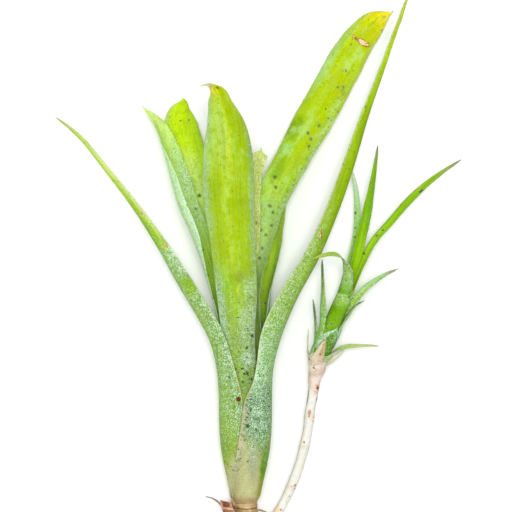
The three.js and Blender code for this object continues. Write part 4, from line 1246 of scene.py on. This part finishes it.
bractRows = [mother.sheathRow(*row) for row in (
    (-31.5, 4.9, 140, 34), (-29.5, 5.5, 144, 38), (-27.5, 6.8, 148, 36), (-25.8, 7.4, 150, 32),
    (-23.8, 7.6, 150, 26),
)]
bractTraits = dict(
    dryLook, seed=40, thickness=0.4, toothLength=0, stepAlong=0.15, tipLength=0.3, tipWidth=0.9, edgeHug=0,
    back="0 #a87050, 1 #a87050",
    face="0 #5c3020, 0.9 #74402c, 1 #d0a894",
    edge="#d8a890", edgeWidth=0.5, edgeAmount=0.7,
    washes=onBack(
        oval(-6.2, -27.6, 0.7, 1.6, 0, "#7c4028", soft=0.4),
        oval(-5.7, -25.0, 1.0, 1.1, 0, "#602c14", soft=0.3),
        oval(-4.9, -26.4, 0.3, 7.0, -4, "#e8c0a0", soft=0.3),
        oval(-7.2, -26.6, 0.35, 7.0, 92, "#dcac90", soft=0.4),
    ),
)
dressLeaf("stem_bract", "dry_scale", mother, bractRows, bractTraits)

runnerRows = [
    [4.6, -33.2, 5.6, 1.5], [8.1, -31.3, 5.6, 1.5], [11.0, -27.4, 5.9, 1.5], [13.8, -22.2, 6.2, 1.4],
    [16, -17.2, 6.5, 1.6], [18.4, -10, 7, 1.5], [19.6, -5.2, 7.2, 1.6], [20.6, 0.4, 7.5, 1.5],
    [21, 4.2, 7.6, 1.6], [21.6, 7.7, 7.8, 1.5], [22.2, 11.3, 7.9, 1.65], [22.65, 15.6, 8, 2.15],
    [23.4, 18.5, 8, 2.8], [*pup.at(0.4), 2.85], [*pup.at(5), 2.1], [*pup.at(9), 1.4], [*pup.at(14), 0.85],
    [*pup.at(21), 0.6],
]
runnerForm = {
    "nodes": (6.5, 17.4, 31.5, 41.0, 48.5),  # distances along the runner of its scale edges
    "scaleLength": 5.5,
    "scaleRise": 0.06,
    "steps": 420,
    "around": 48,
    "rustMarks": [
        (20.9, 4.2, 0.42, 1.8, 78), (19.1, -5.2, 0.16), (16.2, -19.2, 0.28), (15.2, -19.4, 0.14),
        (22.3, 2.6, 0.12), (21.9, 1.4, 0.1), (20.4, -11.6, 0.14), (11.8, -26.9, 0.3),
        (23.5, 12.1, 0.42, 1.7, 100), (23.2, 12.9, 0.16),
    ],
    "darkMarks": [
        (23.5, 12.0, 0.28, 1.5, 80), (22.4, 18.4, 0.16, 3.4, -52), (19.2, -5.4, 0.14, 2.4, 80),
        (16.3, -20.2, 0.22), (16.4, -18.9, 0.16), (13.5, -24.4, 0.1), (20.7, 3.0, 0.16, 2.0, 80),
        (20.9, 21.2, 0.25), (20.3, 8.8, 0.15, 11.0, 82), (23.2, 8.4, 0.12, 5.0, 80),
        (14.5, -22.6, 0.12, 2.0, 60), (25.6, 15.0, 0.12), (24.9, 16.4, 0.08), (24.1, 14.1, 0.08),
    ],
}
runnerLook = {
    "tones": "0.34 #e0d8c4, 0.44 #e0e0d4, 0.56 #e4e4dc, 0.68 #d8d8d4",
    "foot": "#e4c8a0",
    "footPlace": (9.0, 10.4),  # distances between which the tan foot ends
    "vein": "#ccc8bc",
    # painted shade: grey laid along both sides of the runner
    "side": "#9c988c",
    "speckle": "#b08c6c",
    "stains": ("#e0b88c", "#c8a894", "#d0b494", "#dcb078", "#c89c84"),  # one for each node
    "headPlace": 48.0,  # distance at which the pinkish head under the offset starts
    "head": "0.34 #c8ac9c, 0.46 #dcc8b8, 0.6 #e4d4c8, 0.75 #e8e0d0",
    "net": "#a07850",
    "rust": "#b87038",
    "dark": "#5c3418",
    "bump": 0.5,
    "bumpDepth": 0.15,
    "specular": leafLook["specular"],
}


def runnerSwell(s, angle):
    # each scale: a low step at its node that dies away along its length, with a wavy edge
    swell = 0.015 * np.sin(4 * angle + s * 0.5)
    length, rise = runnerForm["scaleLength"], runnerForm["scaleRise"]
    for node in runnerForm["nodes"]:
        t = (s - node - 0.35 * np.sin(angle + node) - 0.12 * np.sin(3 * angle + node)) / length
        swell = swell + rise * smoothStep(-0.05, 0.0, -t) * smoothStep(-1.0, 0.0, -np.abs(t))
    return swell


runnerTube = (runnerRows, runnerForm["steps"], runnerForm["around"], runnerSwell)
runner = tubesPiece("runner_tube", [runnerTube], runnerForm["rustMarks"], runnerForm["darkMarks"])


def runnerMaterial():
    bench = Bench("runner_skin")
    look = runnerLook
    angle, along, _ = bench.attribute("tubePlace")
    rust, dark, _ = bench.attribute("tubeMarks")
    vein = bench.noise(angle * 3.0, along * 0.12, 1.0)
    patch = bench.noise(angle * 0.6, along * 0.3, 4.0)
    grain = bench.noise(angle * 4.0, along * 3.0, 9.0)
    across = bench.maths("COSINE", angle)
    bench.colour = bench.ramp(patch, look["tones"])
    bench.paint(bench.fall(along + across * 1.6, *look["footPlace"]) * 0.75, look["foot"])
    bench.paint(bench.rise(vein, 0.55, 0.72) * 0.35, look["vein"])
    speckle = bench.noise(angle * 3.2, along * 2.6, 22.0, 2.0, 0.6)
    dashes = bench.noise(angle * 1.5, along * 0.5, 33.0)
    # painted shade: the runner greys towards its two sides as seen from above, broken by the dashes, with a
    # few more speckles there
    sides = bench.rise(abs(across) + (dashes - 0.5) * 0.3, 0.7, 1.0)
    bench.paint(sides * 0.3, look["side"])
    bench.paint(bench.rise(speckle + sides * 0.08, 0.64, 0.72) * 0.5, look["speckle"])
    for node, stain in zip(runnerForm["nodes"], look["stains"]):
        away = abs(along - node + (grain - 0.5) * 2.4 + (vein - 0.5) * 3.2)
        broken = bench.rise(vein + (grain - 0.5) * 0.6, 0.46, 0.6)
        bench.paint(bench.fall(away, 0.2, 1.2) * broken * 0.5, stain)
    start = along + across * 1.5 + (grain - 0.5) * 2.0
    head = bench.rise(start, look["headPlace"], look["headPlace"] + 1.5)
    bench.paint(head * 0.9, bench.ramp(patch + (grain - 0.5) * 0.6, look["head"]))
    net = bench.noise(angle * 2.0, along * 1.6, 15.0, 3.0, 0.7)
    bench.paint(bench.rise(net, 0.6, 0.68) * head * 0.6, look["net"])
    ragged = (grain - 0.5) * 0.9
    bench.paint(0.8 - bench.rise(rust + ragged, -0.1, 0.3) * 0.8, look["rust"])
    bench.paint(0.9 - bench.rise(dark + ragged * 0.5, -0.05, 0.12) * 0.9, look["dark"])
    return bench.finish(0.5, vein * 0.6 + grain * 0.4, look)


settle(runner, "runner_skin", runnerMaterial(), "runner")
print("stem, scale and runner made")


# Floor, light and camera, in metres

studio = {
    "floorSize": 6.0,
    "floorDrop": 0.00005,
    "floorColour": "#fcfcfc",
    "floorRoughness": 0.9,
    "world": 0.5,
    "keyPlace": (0.1, 0.15, 3.0),
    "keySize": 1.2,
    "keyWatts": 64.0,
    "fillPlace": (-0.8, 0.3, 1.2),
    "fillSize": 0.7,
    "fillWatts": 3.0,
}
half = studio["floorSize"] / 2
floorMesh = bpy.data.meshes.new("floor")
corners = ((-half, -half), (half, -half), (half, half), (-half, half))
floorMesh.from_pydata([(x, y, -studio["floorDrop"]) for x, y in corners], [], [[0, 1, 2, 3]])
floor = bpy.data.objects.new("floor", floorMesh)
bpy.context.scene.collection.objects.link(floor)
floorBench = Bench("floor_paper")
floorBench.colour = colourOf(studio["floorColour"])
floorMesh.materials.append(floorBench.finish(studio["floorRoughness"], 0.5, leafLook))

world = bpy.data.worlds.new("studio")
world.use_nodes = True
background = world.node_tree.nodes["Background"]
background.inputs["Color"].default_value = (1, 1, 1, 1)
background.inputs["Strength"].default_value = studio["world"]
bpy.context.scene.world = world


def areaLight(name, place, size, watts):
    data = bpy.data.lights.new(name, "AREA")
    data.size = size
    data.energy = watts
    light = bpy.data.objects.new(name, data)
    light.location = place
    toward = -np.array(place)
    light.rotation_euler = (np.arctan2(np.hypot(toward[0], toward[1]), -toward[2]), 0,
                            np.arctan2(toward[1], toward[0]) - np.pi / 2)
    bpy.context.scene.collection.objects.link(light)


areaLight("key", studio["keyPlace"], studio["keySize"], studio["keyWatts"])
areaLight("fill", studio["fillPlace"], studio["fillSize"], studio["fillWatts"])

view = {
    "height": 2.5,
    "middle": (0.00384, 0.05808),
    "widthAtFloor": 0.16384,
    "sensor": 36.0,
}
cameraData = bpy.data.cameras.new("camera")
cameraData.sensor_width = view["sensor"]
cameraData.lens = view["sensor"] * view["height"] / view["widthAtFloor"]
camera = bpy.data.objects.new("camera", cameraData)
camera.location = (*view["middle"], view["height"])
bpy.context.scene.collection.objects.link(camera)
bpy.context.scene.camera = camera
bpy.context.scene.view_settings.view_transform = "Standard"
